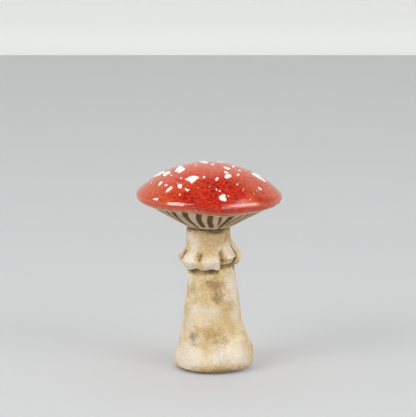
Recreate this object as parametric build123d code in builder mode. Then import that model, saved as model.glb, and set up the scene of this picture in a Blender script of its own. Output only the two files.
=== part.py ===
from build123d import *
import os
from math import acos, asin, atan2, cos, degrees, hypot, pi, radians, sin, sqrt, tan

# A hand-made stoneware mushroom that stands on a table: a red glazed cap with
# raised white dabs, carved gills under it, a hollow stem with a flared foot,
# a draped skirt round the stem and a felt pad under the foot.
# Lengths are in millimetres. +Z is up, -Y is the front, and the origin is the
# middle of the felt pad's underside, where the ornament rests.

# Felt pad
pad_inset = 4.8
pad_thickness = 1.2

# Stem, measured along its own leaning axis from the top of the pad
stem_height = 61.0
stem_lean = 2.4
foot_shift = 0.7
foot_radius = 17.4
foot_height = 4.9
heel_round = 5.5
heel_steps = 5
ankle_radius = 12.7
ankle_height = 18.5
ankle_round = 24.0
ankle_steps = 3
neck_radius = 9.5
foot_wall = 2.5
hollow_height = 13.0
neck_wall = 3.5
shoulder_thickness = 3.4
vent_radius = 1.8

# Tongue on the stem that the cap is stuck on, and the slip that sticks it
tongue_inset = 3.5
tongue_height = 2.7
tongue_clearance = 0.2
slip_thickness = 0.6
slip_inset = 0.3

# Cap, measured from the plane where its gills meet the slip
cap_tilt = 1.0
rim_height = 13.0
rim_radius = 31.4
rim_round = 2.8
rim_steps = 6
dome_rise = 14.2
crown_steps = 10
crown_thickness = 8.2
lip_drop = 4.5
lip_inset = 6.2
ledge_width = 7.2
ledge_depth = 2.0

# Gills
gill_neck_overhang = 0.6
dish_recess_inset = 1.5
dish_recess = 3.5
gill_clearance = 0.1
gill_count = 30
gill_width = 2.2
gill_neck_width = 0.8
gill_depth = 0.8
gill_border = 0.9
gill_neck_border = 0.4

# Skirt: drop below the neck, how far the crests stand off the stem, and depth of the folds
skirt_top = (4.8, 0.25, 0.1)
skirt_flare = (8.4, 1.1, 0.4)
skirt_drape = (11.2, 2.5, 1.1)
skirt_widest = (13.8, 3.1, 1.7)
skirt_turn = (16.2, 2.5, 1.4)
skirt_hem = (17.7, 1.5, 1.0)
fold_angles = (-156, -114, -69, -32, 8, 49, 87, 128, 166)
lobe_steps = 5
pit_radius = 0.9
pit_height = 4.2
pit_drop = 11.6
pit_stand = 1.3
seam_angle = -69.0
seam_step = 1.8

# White glaze dabs: the distance of each from the cap's axis and its half length
# as shares of the rim's radius, with the angles of its place and its long side
# between them, and its breadth as a share of its length
dab_thickness = 0.45
dab_edge_angle = 30.0
dab_shares = (
    (0.44, -158, 0.100, 80, 0.74),
    (0.62, -168, 0.085, 70, 0.60),
    (0.61, -113, 0.100, 90, 0.84),
    (0.78, -151, 0.048, 60, 0.50),
    (0.83, -132, 0.074, 50, 0.52),
    (0.75, -121, 0.046, 20, 0.80),
    (0.12, 140, 0.090, 10, 0.60),
    (0.33, -44, 0.066, 70, 0.72),
    (0.54, -62, 0.060, 10, 0.84),
    (0.58, -82, 0.050, 0, 0.68),
    (0.54, -42, 0.046, 15, 0.62),
    (0.67, -9, 0.125, 5, 0.46),
    (0.82, -35, 0.045, 60, 0.60),
    (0.89, -77, 0.058, 20, 0.86),
    (0.34, 74, 0.080, 160, 0.66),
    (0.66, 118, 0.090, 35, 0.74),
    (0.76, 58, 0.075, 150, 0.60),
    (0.52, 166, 0.060, 95, 0.70),
    (0.80, 88, 0.045, 20, 0.80),
)
# How far the corners of a torn dab stand out, as shares of its half length
corner_shares = (1.00, 0.84, 1.00, 0.78, 0.94, 0.70, 1.00, 0.66, 0.92)

# White flecks, spread over the crown along a spiral
fleck_count = 20
fleck_radius = 0.8
fleck_size_shares = (0.5, 1.0, 0.6, 0.8, 0.45)
fleck_thickness = 0.3
fleck_corner_count = 6
fleck_start_share = 0.14
fleck_end_share = 0.84
spiral_angle = 137.5

overrun = 5.0


def arc_points(middle, radius, start, end, steps):
    """Points along an arc, in even steps from one angle to another."""
    points = []
    for step in range(steps + 1):
        angle = radians(start + (end - start) * step / steps)
        points.append((middle[0] + radius * cos(angle), middle[1] + radius * sin(angle)))
    return points


def touch_angle(point, middle, radius, side):
    """The angle on a circle where a line from an outside point touches it."""
    across, up = point[0] - middle[0], point[1] - middle[1]
    return degrees(atan2(up, across)) + side * degrees(acos(radius / hypot(across, up)))


def corner_points(before, corner, after, radius, steps):
    """Points round a hollow corner, on an arc that touches both of its sides."""
    back = (Vector(*before) - Vector(*corner)).normalized()
    ahead = (Vector(*after) - Vector(*corner)).normalized()
    half = radians(back.get_angle(ahead) / 2)
    middle = Vector(*corner) + (back + ahead).normalized() * (radius / sin(half))
    first = Vector(*corner) + back * (radius / tan(half)) - middle
    last = Vector(*corner) + ahead * (radius / tan(half)) - middle
    start = degrees(atan2(first.Y, first.X)) % 360
    end = degrees(atan2(last.Y, last.X)) % 360
    return arc_points((middle.X, middle.Y), radius, start, end, steps)


def stem_middle(height):
    """How far to the right the stem's axis passes at a height above the pad."""
    return foot_shift - height * tan(radians(stem_lean))


def round_stem(height, reach, angle):
    """The place at a reach and an angle from the stem's middle at a height."""
    across = stem_middle(height) + reach * cos(radians(angle))
    return (across, reach * sin(radians(angle)))


def stem_reach(drop):
    """The stem's radius at a drop below its neck."""
    return neck_radius + (ankle_radius - neck_radius) * drop / (stem_height - ankle_height)


def draped_points(drop, stand, depth):
    """Points round the skirt at a drop: round lobes that meet in sharp folds."""
    points = []
    crest = stem_reach(drop) + stand
    for start, end in zip(fold_angles, fold_angles[1:] + (fold_angles[0] + 360,)):
        for step in range(lobe_steps):
            share = step / lobe_steps
            reach = crest - depth * (1 - sin(pi * share))
            points.append(round_stem(stem_height - drop, reach, start + (end - start) * share))
    return points


# Local X runs out from an axis and local Y up along it.
stem_side = Plane((foot_shift, 0, pad_thickness), (1, 0, 0), (0, -1, 0))
stem_side = stem_side.rotated((0, -stem_lean, 0))
stem_axis = Axis(stem_side.origin, stem_side.y_dir)
foot_plane = Plane.XY.offset(pad_thickness)
neck_plane = Plane((stem_middle(stem_height), 0, pad_thickness + stem_height))
cap_plane = neck_plane.offset(slip_thickness).rotated((0, cap_tilt, 0))
cap_axis = Axis(cap_plane.origin, cap_plane.z_dir)
cap_side = Plane(cap_plane.origin, x_dir=cap_plane.x_dir, z_dir=-cap_plane.y_dir)

# What fits together takes its size from the piece that carries it.
pad_radius = foot_radius - pad_inset
hollow_radius = ankle_radius - foot_wall
bore_radius = neck_radius - neck_wall
bore_top = stem_height - shoulder_thickness
tongue_radius = neck_radius - tongue_inset
socket_radius = tongue_radius + tongue_clearance
gill_neck_radius = neck_radius + gill_neck_overhang
lip_radius = rim_radius - lip_inset
lip_height = rim_height - lip_drop
ledge_height = lip_height + ledge_depth
cap_hollow_radius = lip_radius - ledge_width
cap_hollow_height = rim_height + dome_rise - crown_thickness
dish_radius = lip_radius - gill_clearance
dish_hollow_radius = cap_hollow_radius - dish_recess_inset
dish_hollow_height = ledge_height - dish_recess

# The crown's arc runs into the rim's arc without a break.
rim_middle = (rim_radius - rim_round, rim_height)
crown_radius = dome_rise**2 + rim_middle[0] ** 2 - rim_round**2
crown_radius /= 2 * (dome_rise - rim_round)
crown_middle = (0, rim_height + dome_rise - crown_radius)
crown_slope = degrees(asin(rim_middle[0] / (crown_radius - rim_round)))


def crown_plane(distance, place, turn, rise):
    """The plane that lies on the crown at a distance and an angle from the cap's axis."""
    middle = cap_plane.location * Location((0, 0, crown_middle[1]), (0, 0, place))
    tip = Location((0, 0, 0), (0, degrees(asin(distance / crown_radius)), 0))
    return Plane(middle * tip * Location((0, 0, crown_radius + rise), (0, 0, turn)))


def torn_points(reach, breadth):
    """Corners round a torn dab of glaze, which is narrowed across its length."""
    points = []
    for index, share in enumerate(corner_shares):
        angle = 2 * pi * index / len(corner_shares)
        points.append((reach * share * cos(angle), reach * share * breadth * sin(angle)))
    return points


os.makedirs("parts", exist_ok=True)

# Felt disc under the foot
with BuildPart() as foot_pad:
    Cylinder(pad_radius, pad_thickness, align=(Align.CENTER, Align.CENTER, Align.MIN))
foot_pad.part.label = "foot_pad"
export_step(foot_pad.part, "parts/foot_pad.step")

# The stem's form without its bore, which the skirt is draped on
with BuildPart() as stem_form:
    heel_middle = (foot_radius - heel_round, foot_height)
    heel_top = touch_angle((ankle_radius, ankle_height), heel_middle, heel_round, -1)
    heel = arc_points(heel_middle, heel_round, heel_top, -90, heel_steps)
    neck = (neck_radius, stem_height)
    ankle = corner_points(neck, (ankle_radius, ankle_height), heel[0], ankle_round, ankle_steps)
    neck_slope = (neck_radius - ankle_radius) / (stem_height - ankle_height)
    top = (neck_radius + overrun * neck_slope, stem_height + overrun)
    with BuildSketch(stem_side):
        with BuildLine():
            Polyline((0, top[1]), top, *ankle, *heel, (0, heel[-1][1]), close=True)
        make_face()
    revolve(axis=stem_axis)
    split(bisect_by=foot_plane, keep=Keep.TOP)
    split(bisect_by=neck_plane, keep=Keep.BOTTOM)

# Hollow stem: open under the foot, with a thick shoulder and a vented tongue
with BuildPart() as stem:
    add(stem_form.part)
    with BuildSketch(stem_side):
        with BuildLine():
            Polyline(
                (0, -overrun),
                (hollow_radius, -overrun),
                (hollow_radius, hollow_height),
                (bore_radius, hollow_height),
                (bore_radius, bore_top),
                (0, bore_top),
                close=True,
            )
        make_face()
    revolve(axis=stem_axis, mode=Mode.SUBTRACT)
    with BuildSketch(neck_plane):
        Circle(tongue_radius)
    extrude(amount=tongue_height)
    with Locations(neck_plane.location):
        Hole(vent_radius)
stem.part.label = "stem"
export_step(stem.part, "parts/stem.step")

# Ring of dark slip that the cap is stuck down with, a wedge because of the tilt
with BuildPart() as neck_slip:
    with BuildSketch(neck_plane):
        Circle(neck_radius - slip_inset)
        Circle(tongue_radius, mode=Mode.SUBTRACT)
    extrude(amount=slip_thickness + neck_radius)
    split(bisect_by=cap_plane, keep=Keep.BOTTOM)
neck_slip.part.label = "neck_slip"
export_step(neck_slip.part, "parts/neck_slip.step")

# Skirt: a strip of clay draped round the stem in folds, with its ends lapped
with BuildPart() as skirt:
    for drop, stand, depth in (
        skirt_hem,
        skirt_turn,
        skirt_widest,
        skirt_drape,
        skirt_flare,
        skirt_top,
    ):
        with BuildSketch(foot_plane.offset(stem_height - drop)):
            with BuildLine():
                Polyline(*draped_points(drop, stand, depth), close=True)
            make_face()
    loft(ruled=True)
    # Pits that the fingers pinched at the head of each fold
    pit_middle = stem_height - pit_drop
    pit_reach = stem_reach(pit_drop) + pit_stand
    pits = [round_stem(pit_middle, pit_reach, angle) for angle in fold_angles]
    with Locations(*[(*pit, pad_thickness + pit_middle) for pit in pits]):
        Cylinder(pit_radius, pit_height, mode=Mode.SUBTRACT)
    # One end of the strip is lapped over the other, so the hem steps at the seam.
    hem_drop, hem_stand, hem_depth = skirt_hem
    hem_height = stem_height - hem_drop
    hem_slope = degrees(asin(seam_step / (2 * (stem_reach(hem_drop) + hem_stand))))
    seam = Location((stem_middle(hem_height), 0, hem_height + seam_step / 2), (0, 0, seam_angle))
    with Locations(foot_plane.location * seam * Location((0, 0, 0), (0, -hem_slope, 0))):
        Box(
            2 * foot_radius,
            foot_radius,
            2 * seam_step,
            align=(Align.CENTER, Align.MIN, Align.MAX),
            mode=Mode.SUBTRACT,
        )
    add(stem_form.part, mode=Mode.SUBTRACT)
skirt.part.label = "skirt"
export_step(skirt.part, "parts/skirt.step")

# Dish that closes the cap from below, carved with gills on its outside
with BuildPart() as gill_dish:
    with BuildSketch(cap_side):
        with BuildLine():
            Polyline(
                (socket_radius, 0),
                (gill_neck_radius, 0),
                (dish_radius, lip_height),
                (dish_radius, ledge_height),
                (dish_hollow_radius, ledge_height),
                (dish_hollow_radius, dish_hollow_height),
                (socket_radius, dish_hollow_height),
                close=True,
            )
        make_face()
    revolve(axis=cap_axis)
    # One tapered groove, sketched on the cone's slope and turned round the cap
    gill_run = Vector(dish_radius - gill_neck_radius, 0, lip_height)
    groove_start = Vector(gill_neck_radius, 0, 0) + gill_run.normalized() * gill_neck_border
    groove_length = gill_run.length - gill_border - gill_neck_border
    groove_side = Plane(groove_start, x_dir=gill_run, z_dir=gill_run.cross(Vector(0, 1, 0)))
    groove_planes = [
        Plane(cap_plane.location * spoke * groove_side.offset(gill_depth).location)
        for spoke in PolarLocations(0, gill_count)
    ]
    with BuildSketch(*groove_planes):
        with BuildLine():
            Polyline(
                (0, -gill_neck_width / 2),
                (groove_length, -gill_width / 2),
                (groove_length, gill_width / 2),
                (0, gill_neck_width / 2),
                close=True,
            )
        make_face()
    extrude(amount=-2 * gill_depth, mode=Mode.SUBTRACT)
gill_dish.part.label = "gill_dish"
export_step(gill_dish.part, "parts/gill_dish.step")

# Domed cap, hollowed from below, with a ledge that the gill dish seats on
with BuildPart() as cap_shell:
    crown = arc_points(crown_middle, crown_radius, 90, 90 - crown_slope, crown_steps)
    tuck = touch_angle((lip_radius, lip_height), rim_middle, rim_round, 1)
    rim = arc_points(rim_middle, rim_round, 90 - crown_slope, tuck, rim_steps)
    with BuildSketch(cap_side):
        with BuildLine():
            Polyline(
                *crown,
                *rim[1:],
                (lip_radius, lip_height),
                (lip_radius, ledge_height),
                (cap_hollow_radius, ledge_height),
                (cap_hollow_radius, cap_hollow_height),
                (0, cap_hollow_height),
                close=True,
            )
        make_face()
    revolve(axis=cap_axis)
cap_shell.part.label = "cap_shell"
export_step(cap_shell.part, "parts/cap_shell.step")

# Large torn dabs of white glaze, raised on the crown
with BuildPart() as glaze_dabs:
    for distance, place, length, turn, breadth in dab_shares:
        dab = crown_plane(distance * rim_radius, place, turn, dab_thickness)
        with BuildSketch(dab):
            with BuildLine():
                Polyline(*torn_points(length * rim_radius, breadth), close=True)
            make_face()
        extrude(amount=-3 * dab_thickness, taper=-dab_edge_angle)
    add(cap_shell.part, mode=Mode.SUBTRACT)
glaze_dabs.part.label = "glaze_dabs"
export_step(glaze_dabs.part, "parts/glaze_dabs.step")

# Small white flecks between the dabs
with BuildPart() as glaze_flecks:
    for index in range(fleck_count):
        share = index / (fleck_count - 1)
        reach = sqrt(fleck_start_share**2 * (1 - share) + fleck_end_share**2 * share)
        size = fleck_size_shares[index % len(fleck_size_shares)]
        plane = crown_plane(reach * rim_radius, index * spiral_angle, 0, fleck_thickness)
        with BuildSketch(plane):
            RegularPolygon(fleck_radius * size, fleck_corner_count)
        extrude(amount=-3 * fleck_thickness)
    add(cap_shell.part, mode=Mode.SUBTRACT)
    add(glaze_dabs.part, mode=Mode.SUBTRACT)
glaze_flecks.part.label = "glaze_flecks"
export_step(glaze_flecks.part, "parts/glaze_flecks.step")
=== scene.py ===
"""A stoneware mushroom ornament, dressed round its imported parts.

Each sub-assembly is a class that models its pieces on the bench with Blender's
own operators and gives them their finish. Sizes are in millimetres until they
reach the bench, which works in metres. +Z is up and -Y is the front.
"""

import logging
import math
import random
from collections.abc import Callable, Sequence
from dataclasses import dataclass
from enum import Enum

import bpy
import numpy as np
from mathutils import Matrix, Vector

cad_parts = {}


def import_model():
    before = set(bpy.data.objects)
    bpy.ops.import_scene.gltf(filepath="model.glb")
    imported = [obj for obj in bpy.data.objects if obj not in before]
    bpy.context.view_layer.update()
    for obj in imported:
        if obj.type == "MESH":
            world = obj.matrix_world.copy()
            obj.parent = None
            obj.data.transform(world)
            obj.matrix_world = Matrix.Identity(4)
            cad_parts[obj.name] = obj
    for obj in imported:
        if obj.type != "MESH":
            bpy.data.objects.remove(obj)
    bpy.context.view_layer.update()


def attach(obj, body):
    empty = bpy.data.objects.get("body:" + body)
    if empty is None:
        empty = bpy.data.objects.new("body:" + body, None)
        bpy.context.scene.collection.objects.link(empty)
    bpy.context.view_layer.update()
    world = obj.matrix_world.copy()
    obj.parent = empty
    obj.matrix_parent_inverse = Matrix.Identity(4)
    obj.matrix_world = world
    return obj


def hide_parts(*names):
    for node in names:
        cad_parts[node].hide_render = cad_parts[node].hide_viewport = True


MM = 0.001
DOUBLE = MM / 1000  # points nearer to each other than this, in metres, are one
JAG = 0.06  # share of a dab's size by which its outline is torn
TOUCH = 0.16  # a thumb takes hold of the points this near to its line
SKIN = 0.86  # points beyond this share of a wall's usual radius are on its outside
LOG = logging.getLogger("mushroom")

Place = tuple[float, float]  # radius and height, a flat place, or an angle and its value
Point = tuple[float, float, float]
Colour = tuple[float, float, float]
Axis = Callable[[np.ndarray], np.ndarray]  # from heights to places across and deep
Piece = bpy.types.Object
Material = bpy.types.Material
Node = bpy.types.Node
NodeTree = bpy.types.NodeTree
Socket = bpy.types.NodeSocket


class Falloff(Enum):
    """How a press fades out round the thumb."""

    SOFT = "SMOOTH"
    CREASE = "SHARP"
    DEEP_CREASE = "INVERSE_SQUARE"


class Slot(Enum):
    """The record's material slots."""

    FELT = "felt"
    STONEWARE = "stoneware"
    DARK_SLIP = "dark_slip"
    GILL_CLAY = "gill_clay"
    RED_GLAZE = "red_glaze"
    WHITE_GLAZE = "white_glaze"


def linear(red: int, green: int, blue: int) -> Colour:
    """Turn a screen colour into scene-linear light.

    Args:
        red: Red, 0 to 255.
        green: Green, 0 to 255.
        blue: Blue, 0 to 255.

    Returns:
        The three linear values.
    """
    values = []
    for part in (red, green, blue):
        share = part / 255
        low = share / 12.92
        high = ((share + 0.055) / 1.055) ** 2.4
        values.append(low if share <= 0.04045 else high)
    return (values[0], values[1], values[2])


def smooth_step(low: float, high: float, values: np.ndarray) -> np.ndarray:
    """Ease from 0 at low to 1 at high.

    Args:
        low: Where the result is still 0.
        high: Where the result reaches 1.
        values: What to ease.

    Returns:
        The eased values.
    """
    share = np.clip((values - low) / (high - low), 0.0, 1.0)
    return share * share * (3.0 - 2.0 * share)


def angle_gap(angles: np.ndarray, place: float) -> np.ndarray:
    """Signed gap in degrees from a place to each angle, between -180 and 180."""
    return (angles - place + 180.0) % 360.0 - 180.0


def bell(values: np.ndarray, width: float) -> np.ndarray:
    """A soft hump, 1 where a value is 0 and all but gone at twice the width."""
    return np.exp(-((values / width) ** 2))


def radii(points: np.ndarray) -> np.ndarray:
    """Distance of each point from the upright axis."""
    return np.hypot(points[:, 0], points[:, 1])


def turns(points: np.ndarray) -> np.ndarray:
    """Angle of each point round the upright axis in degrees, with the front at -90."""
    return np.degrees(np.arctan2(points[:, 1], points[:, 0]))


def from_front(points: np.ndarray) -> np.ndarray:
    """Angle of each point round the axis in degrees, 0 at the front and more to the right."""
    return angle_gap(turns(points), -90.0)


@dataclass(frozen=True)
class Band:
    """A ramp from where something starts to where it is full, either way round."""

    start: float
    full: float

    def of(self, values: np.ndarray) -> np.ndarray:
        """How far along the ramp each value lies."""
        return smooth_step(self.start, self.full, values)


@dataclass(frozen=True)
class Ring:
    """One ring of a coiled wall.

    Attributes:
        height: Height above the table.
        across: Place of its middle, left to right.
        reach: Radius left to right.
        depth: Radius front to back.
    """

    height: float
    across: float
    reach: float
    depth: float

    def middle(self) -> Vector:
        """Its middle, in millimetres."""
        return Vector((self.across, 0, self.height))


@dataclass(frozen=True)
class Press:
    """A push of a thumb or a tool into soft clay.

    Attributes:
        angle: Where round the axis, in degrees, with the front at -90.
        low: Lower end of the pressed line.
        high: Upper end of the pressed line.
        push: How far in it goes; a negative push pulls the clay out.
        reach: How far round it the clay follows.
        falloff: How it fades out.
        lift: How far the clay is moved up with it.
        slant: Degrees that the line's upper end lies further round.
    """

    angle: float
    low: float
    high: float
    push: float
    reach: float
    falloff: Falloff = Falloff.SOFT
    lift: float = 0.0
    slant: float = 0.0


@dataclass(frozen=True)
class Marks:
    """The unevenness that handwork leaves.

    Attributes:
        seed: Where in the pattern it lies.
        size: Length of the pattern's waves.
        depth: How far they stand in and out.
    """

    seed: int
    size: float
    depth: float


class Bench:
    """Blender's own operators, used as a modeller would by hand."""

    @staticmethod
    def clear() -> None:
        """Leave edit mode and deselect everything."""
        active = bpy.context.view_layer.objects.active
        if active is not None and active.mode != "OBJECT":
            bpy.ops.object.mode_set(mode="OBJECT")
        bpy.ops.object.select_all(action="DESELECT")

    @staticmethod
    def hold(piece: Piece) -> None:
        """Select one piece alone and make it active."""
        Bench.clear()
        piece.select_set(True)
        bpy.context.view_layer.objects.active = piece

    @staticmethod
    def edit(piece: Piece, mode: str = "VERT") -> None:
        """Open one piece in edit mode."""
        Bench.hold(piece)
        modes = tuple(mode == kind for kind in ("VERT", "EDGE", "FACE"))
        bpy.context.tool_settings.mesh_select_mode = modes
        bpy.ops.object.mode_set(mode="EDIT")

    @staticmethod
    def close() -> None:
        """Go back to object mode."""
        bpy.ops.object.mode_set(mode="OBJECT")

    @staticmethod
    def started(name: str) -> Piece:
        """Name the primitive that was just added."""
        piece = bpy.context.active_object
        piece.name = name
        piece.data.name = name
        return piece

    @staticmethod
    def points(piece: Piece) -> np.ndarray:
        """Read a piece's points, one row each."""
        flat = np.empty(len(piece.data.vertices) * 3)
        piece.data.vertices.foreach_get("co", flat)
        return flat.reshape(-1, 3)

    @staticmethod
    def place_points(piece: Piece, points: np.ndarray) -> None:
        """Write a piece's points back."""
        piece.data.vertices.foreach_set("co", points.ravel())
        piece.data.update()

    @staticmethod
    def pick(piece: Piece, chosen: np.ndarray) -> None:
        """Open a piece in edit mode with only the chosen points selected.

        Args:
            piece: The piece to open.
            chosen: True for each point that is selected.
        """
        Bench.hold(piece)
        mesh = piece.data
        mesh.vertices.foreach_set("select", chosen)
        mesh.edges.foreach_set("select", np.zeros(len(mesh.edges), bool))
        mesh.polygons.foreach_set("select", np.zeros(len(mesh.polygons), bool))
        Bench.edit(piece)

    @staticmethod
    def modify(piece: Piece, kind: str, **settings: object) -> None:
        """Add a modifier, set it and apply it.

        Args:
            piece: The piece that gets it.
            kind: The modifier's type.
            **settings: Its values by name.
        """
        Bench.hold(piece)
        bpy.ops.object.modifier_add(type=kind)
        modifier = piece.modifiers[-1]
        for name, value in settings.items():
            setattr(modifier, name, value)
        bpy.ops.object.modifier_apply(modifier=modifier.name)

    @staticmethod
    def divide(piece: Piece, levels: int) -> None:
        """Round a piece off with a subdivision surface."""
        Bench.modify(piece, "SUBSURF", levels=levels, render_levels=levels)

    @staticmethod
    def extrude(move: Sequence[float]) -> None:
        """Pull what is selected out by a move in metres, in edit mode."""
        bpy.ops.mesh.extrude_region_move(TRANSFORM_OT_translate={"value": move})

    @staticmethod
    def _draw(name: str, places: Sequence[Vector]) -> Piece:
        """Draw a line from point to point.

        Args:
            name: The piece's name.
            places: The points, in metres.

        Returns:
            The line, open in edit mode and selected.
        """
        Bench.clear()
        bpy.ops.mesh.primitive_plane_add(size=MM)
        piece = Bench.started(name)
        Bench.edit(piece)
        bpy.ops.mesh.merge(type="CENTER")
        bpy.ops.transform.translate(value=places[0])
        for before, here in zip(places, places[1:]):
            Bench.extrude(here - before)
        bpy.ops.mesh.select_all(action="SELECT")
        return piece

    @staticmethod
    def throw(name: str, profile: Sequence[Place], steps: int) -> Piece:
        """Turn a profile on the wheel.

        Args:
            name: The piece's name.
            profile: Radius and height of each point, both ends on the axis.
            steps: Steps round the turn.

        Returns:
            The closed piece, at the origin.
        """
        places = [Vector((radius * MM, 0, height * MM)) for radius, height in profile]
        piece = Bench._draw(name, places)
        bpy.ops.mesh.spin(steps=steps, angle=math.tau, center=(0, 0, 0), axis=(0, 0, 1))
        Bench.mend()
        Bench.close()
        return piece

    @staticmethod
    def coil(name: str, rings: Sequence[Ring], sides: int) -> Piece:
        """Build a wall up ring by ring, closed at both ends.

        Args:
            name: The piece's name.
            rings: The rings in order, bottom or inside first.
            sides: Sides of each ring.

        Returns:
            The closed piece, at the origin.
        """
        first = rings[0]
        Bench.clear()
        bpy.ops.mesh.primitive_circle_add(vertices=sides, radius=MM, fill_type="NGON")
        piece = Bench.started(name)
        Bench.edit(piece)
        bpy.ops.transform.resize(value=(first.reach, first.depth, 1), center_override=(0, 0, 0))
        bpy.ops.transform.translate(value=(first.across * MM, 0, first.height * MM))
        bpy.ops.mesh.inset(thickness=min(first.reach, first.depth) * MM / 2)
        bpy.ops.mesh.poke()
        Bench.close()
        points = Bench.points(piece)
        middle = np.array((first.across, 0)) * MM
        away = radii((points[:, :2] - middle) / (first.reach * MM, first.depth * MM))
        Bench.pick(piece, away > 0.9)
        bpy.ops.mesh.select_mode(type="EDGE")
        for before, ring in zip(rings, rings[1:]):
            Bench.extrude((ring.middle() - before.middle()) * MM)
            bpy.ops.transform.resize(
                value=(ring.reach / before.reach, ring.depth / before.depth, 1),
                center_override=(ring.across * MM, 0, ring.height * MM),
            )
        bpy.ops.mesh.edge_face_add()
        bpy.ops.mesh.inset(thickness=min(rings[-1].reach, rings[-1].depth) * MM / 2)
        bpy.ops.mesh.poke()
        Bench.mend()
        Bench.close()
        return piece

    @staticmethod
    def trace(name: str, outline: Sequence[Place]) -> Piece:
        """Draw a flat outline point by point and fill it.

        Args:
            name: The piece's name.
            outline: The outline's points.

        Returns:
            The flat face, at the origin.
        """
        piece = Bench._draw(name, [Vector((*place, 0)) * MM for place in (*outline, outline[0])])
        bpy.ops.mesh.remove_doubles(threshold=DOUBLE)
        bpy.ops.mesh.edge_face_add()
        Bench.close()
        return piece

    @staticmethod
    def mend() -> None:
        """Merge doubles and turn all faces outwards, in edit mode."""
        bpy.ops.mesh.select_all(action="SELECT")
        bpy.ops.mesh.remove_doubles(threshold=DOUBLE)
        bpy.ops.mesh.normals_make_consistent(inside=False)

    @staticmethod
    def press(piece: Piece, presses: Sequence[Press], axis: Axis) -> None:
        """Push thumbs into the outside of a clay wall.

        Args:
            piece: The piece that is pressed.
            presses: The presses in order.
            axis: Gives the place of the wall's axis at each height.
        """
        for press in presses:
            points = Bench.points(piece)
            heights = points[:, 2] / MM
            round_axis = points[:, :2] / MM - axis(heights)
            angles = turns(round_axis)
            reaches = radii(round_axis)
            middle = (press.low + press.high) / 2
            span = max(press.high - press.low, 0.01)
            line = press.angle + press.slant * np.clip((heights - press.low) / span, 0, 1)
            off_line = np.radians(angle_gap(angles, line)) * reaches
            over = np.maximum(0.0, np.maximum(press.low - heights, heights - press.high))
            level = np.abs(heights - middle) < span / 2 + 1.5
            outside = reaches > np.percentile(reaches[level], 60) * SKIN
            distance = np.where(outside, np.hypot(off_line, over), np.inf)
            Bench.pick(piece, distance < max(distance.min() + 0.02, TOUCH))
            turn = math.radians(press.angle + press.slant / 2)
            inwards = Vector((-math.cos(turn), -math.sin(turn), 0)) * press.push
            bpy.ops.transform.translate(
                value=(inwards + Vector((0, 0, press.lift))) * MM,
                use_proportional_edit=True,
                proportional_edit_falloff=press.falloff.value,
                proportional_size=press.reach * MM,
            )
            Bench.close()

    @staticmethod
    def roughen(piece: Piece, hand: Sequence[Marks], group: str = "") -> None:
        """Give a surface the unevenness of handwork.

        Args:
            piece: The piece.
            hand: The marks, the broadest first.
            group: The points' group that they are kept to, if any.
        """
        for marks in hand:
            texture = bpy.data.textures.new(f"{piece.name}_hand_{marks.seed}", "CLOUDS")
            texture.noise_scale = marks.size * MM
            texture.noise_depth = 1
            shift = np.array((1.7, 2.3, 3.1)) * marks.seed * marks.size * MM
            Bench.place_points(piece, Bench.points(piece) + shift)
            Bench.modify(
                piece,
                "DISPLACE",
                texture=texture,
                texture_coords="LOCAL",
                strength=2 * marks.depth * MM,
                mid_level=0.5,
                vertex_group=group,
            )
            Bench.place_points(piece, Bench.points(piece) - shift)

    @staticmethod
    def group(piece: Piece, name: str, weights: np.ndarray) -> None:
        """Keep a weight for each point as a group, which holds a modifier to its place.

        Args:
            piece: The piece.
            name: The group's name.
            weights: One weight from 0 to 1 for each point.
        """
        group = piece.vertex_groups.new(name=name)
        steps = np.round(weights, 2)
        for level in np.unique(steps):
            group.add(np.flatnonzero(steps == level).tolist(), float(level), "REPLACE")

    @staticmethod
    def mark(piece: Piece, name: str, weights: np.ndarray) -> None:
        """Keep a weight for each point as an attribute that the piece's finish reads."""
        layer = piece.data.attributes.new(name, "FLOAT", "POINT")
        layer.data.foreach_set("value", weights.astype(np.float32))

    @staticmethod
    def seat(piece: Piece, place: Matrix) -> None:
        """Set a piece in its place and put that place in its mesh."""
        Bench.hold(piece)
        piece.matrix_world = place
        bpy.ops.object.transform_apply(location=True, rotation=True, scale=True)

    @staticmethod
    def finish(piece: Piece, material: Material, angle: float = 50.0) -> None:
        """Shade a piece smooth, but for edges sharper than an angle, and give it its material."""
        Bench.hold(piece)
        bpy.ops.object.shade_smooth_by_angle(angle=math.radians(angle))
        piece.data.materials.append(material)

    @staticmethod
    def join(pieces: Sequence[Piece], name: str) -> Piece:
        """Join pieces into one.

        Args:
            pieces: The pieces.
            name: The joined piece's name.

        Returns:
            The joined piece.
        """
        Bench.hold(pieces[0])
        for piece in pieces:
            piece.select_set(True)
        bpy.ops.object.join()
        return Bench.started(name)


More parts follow.
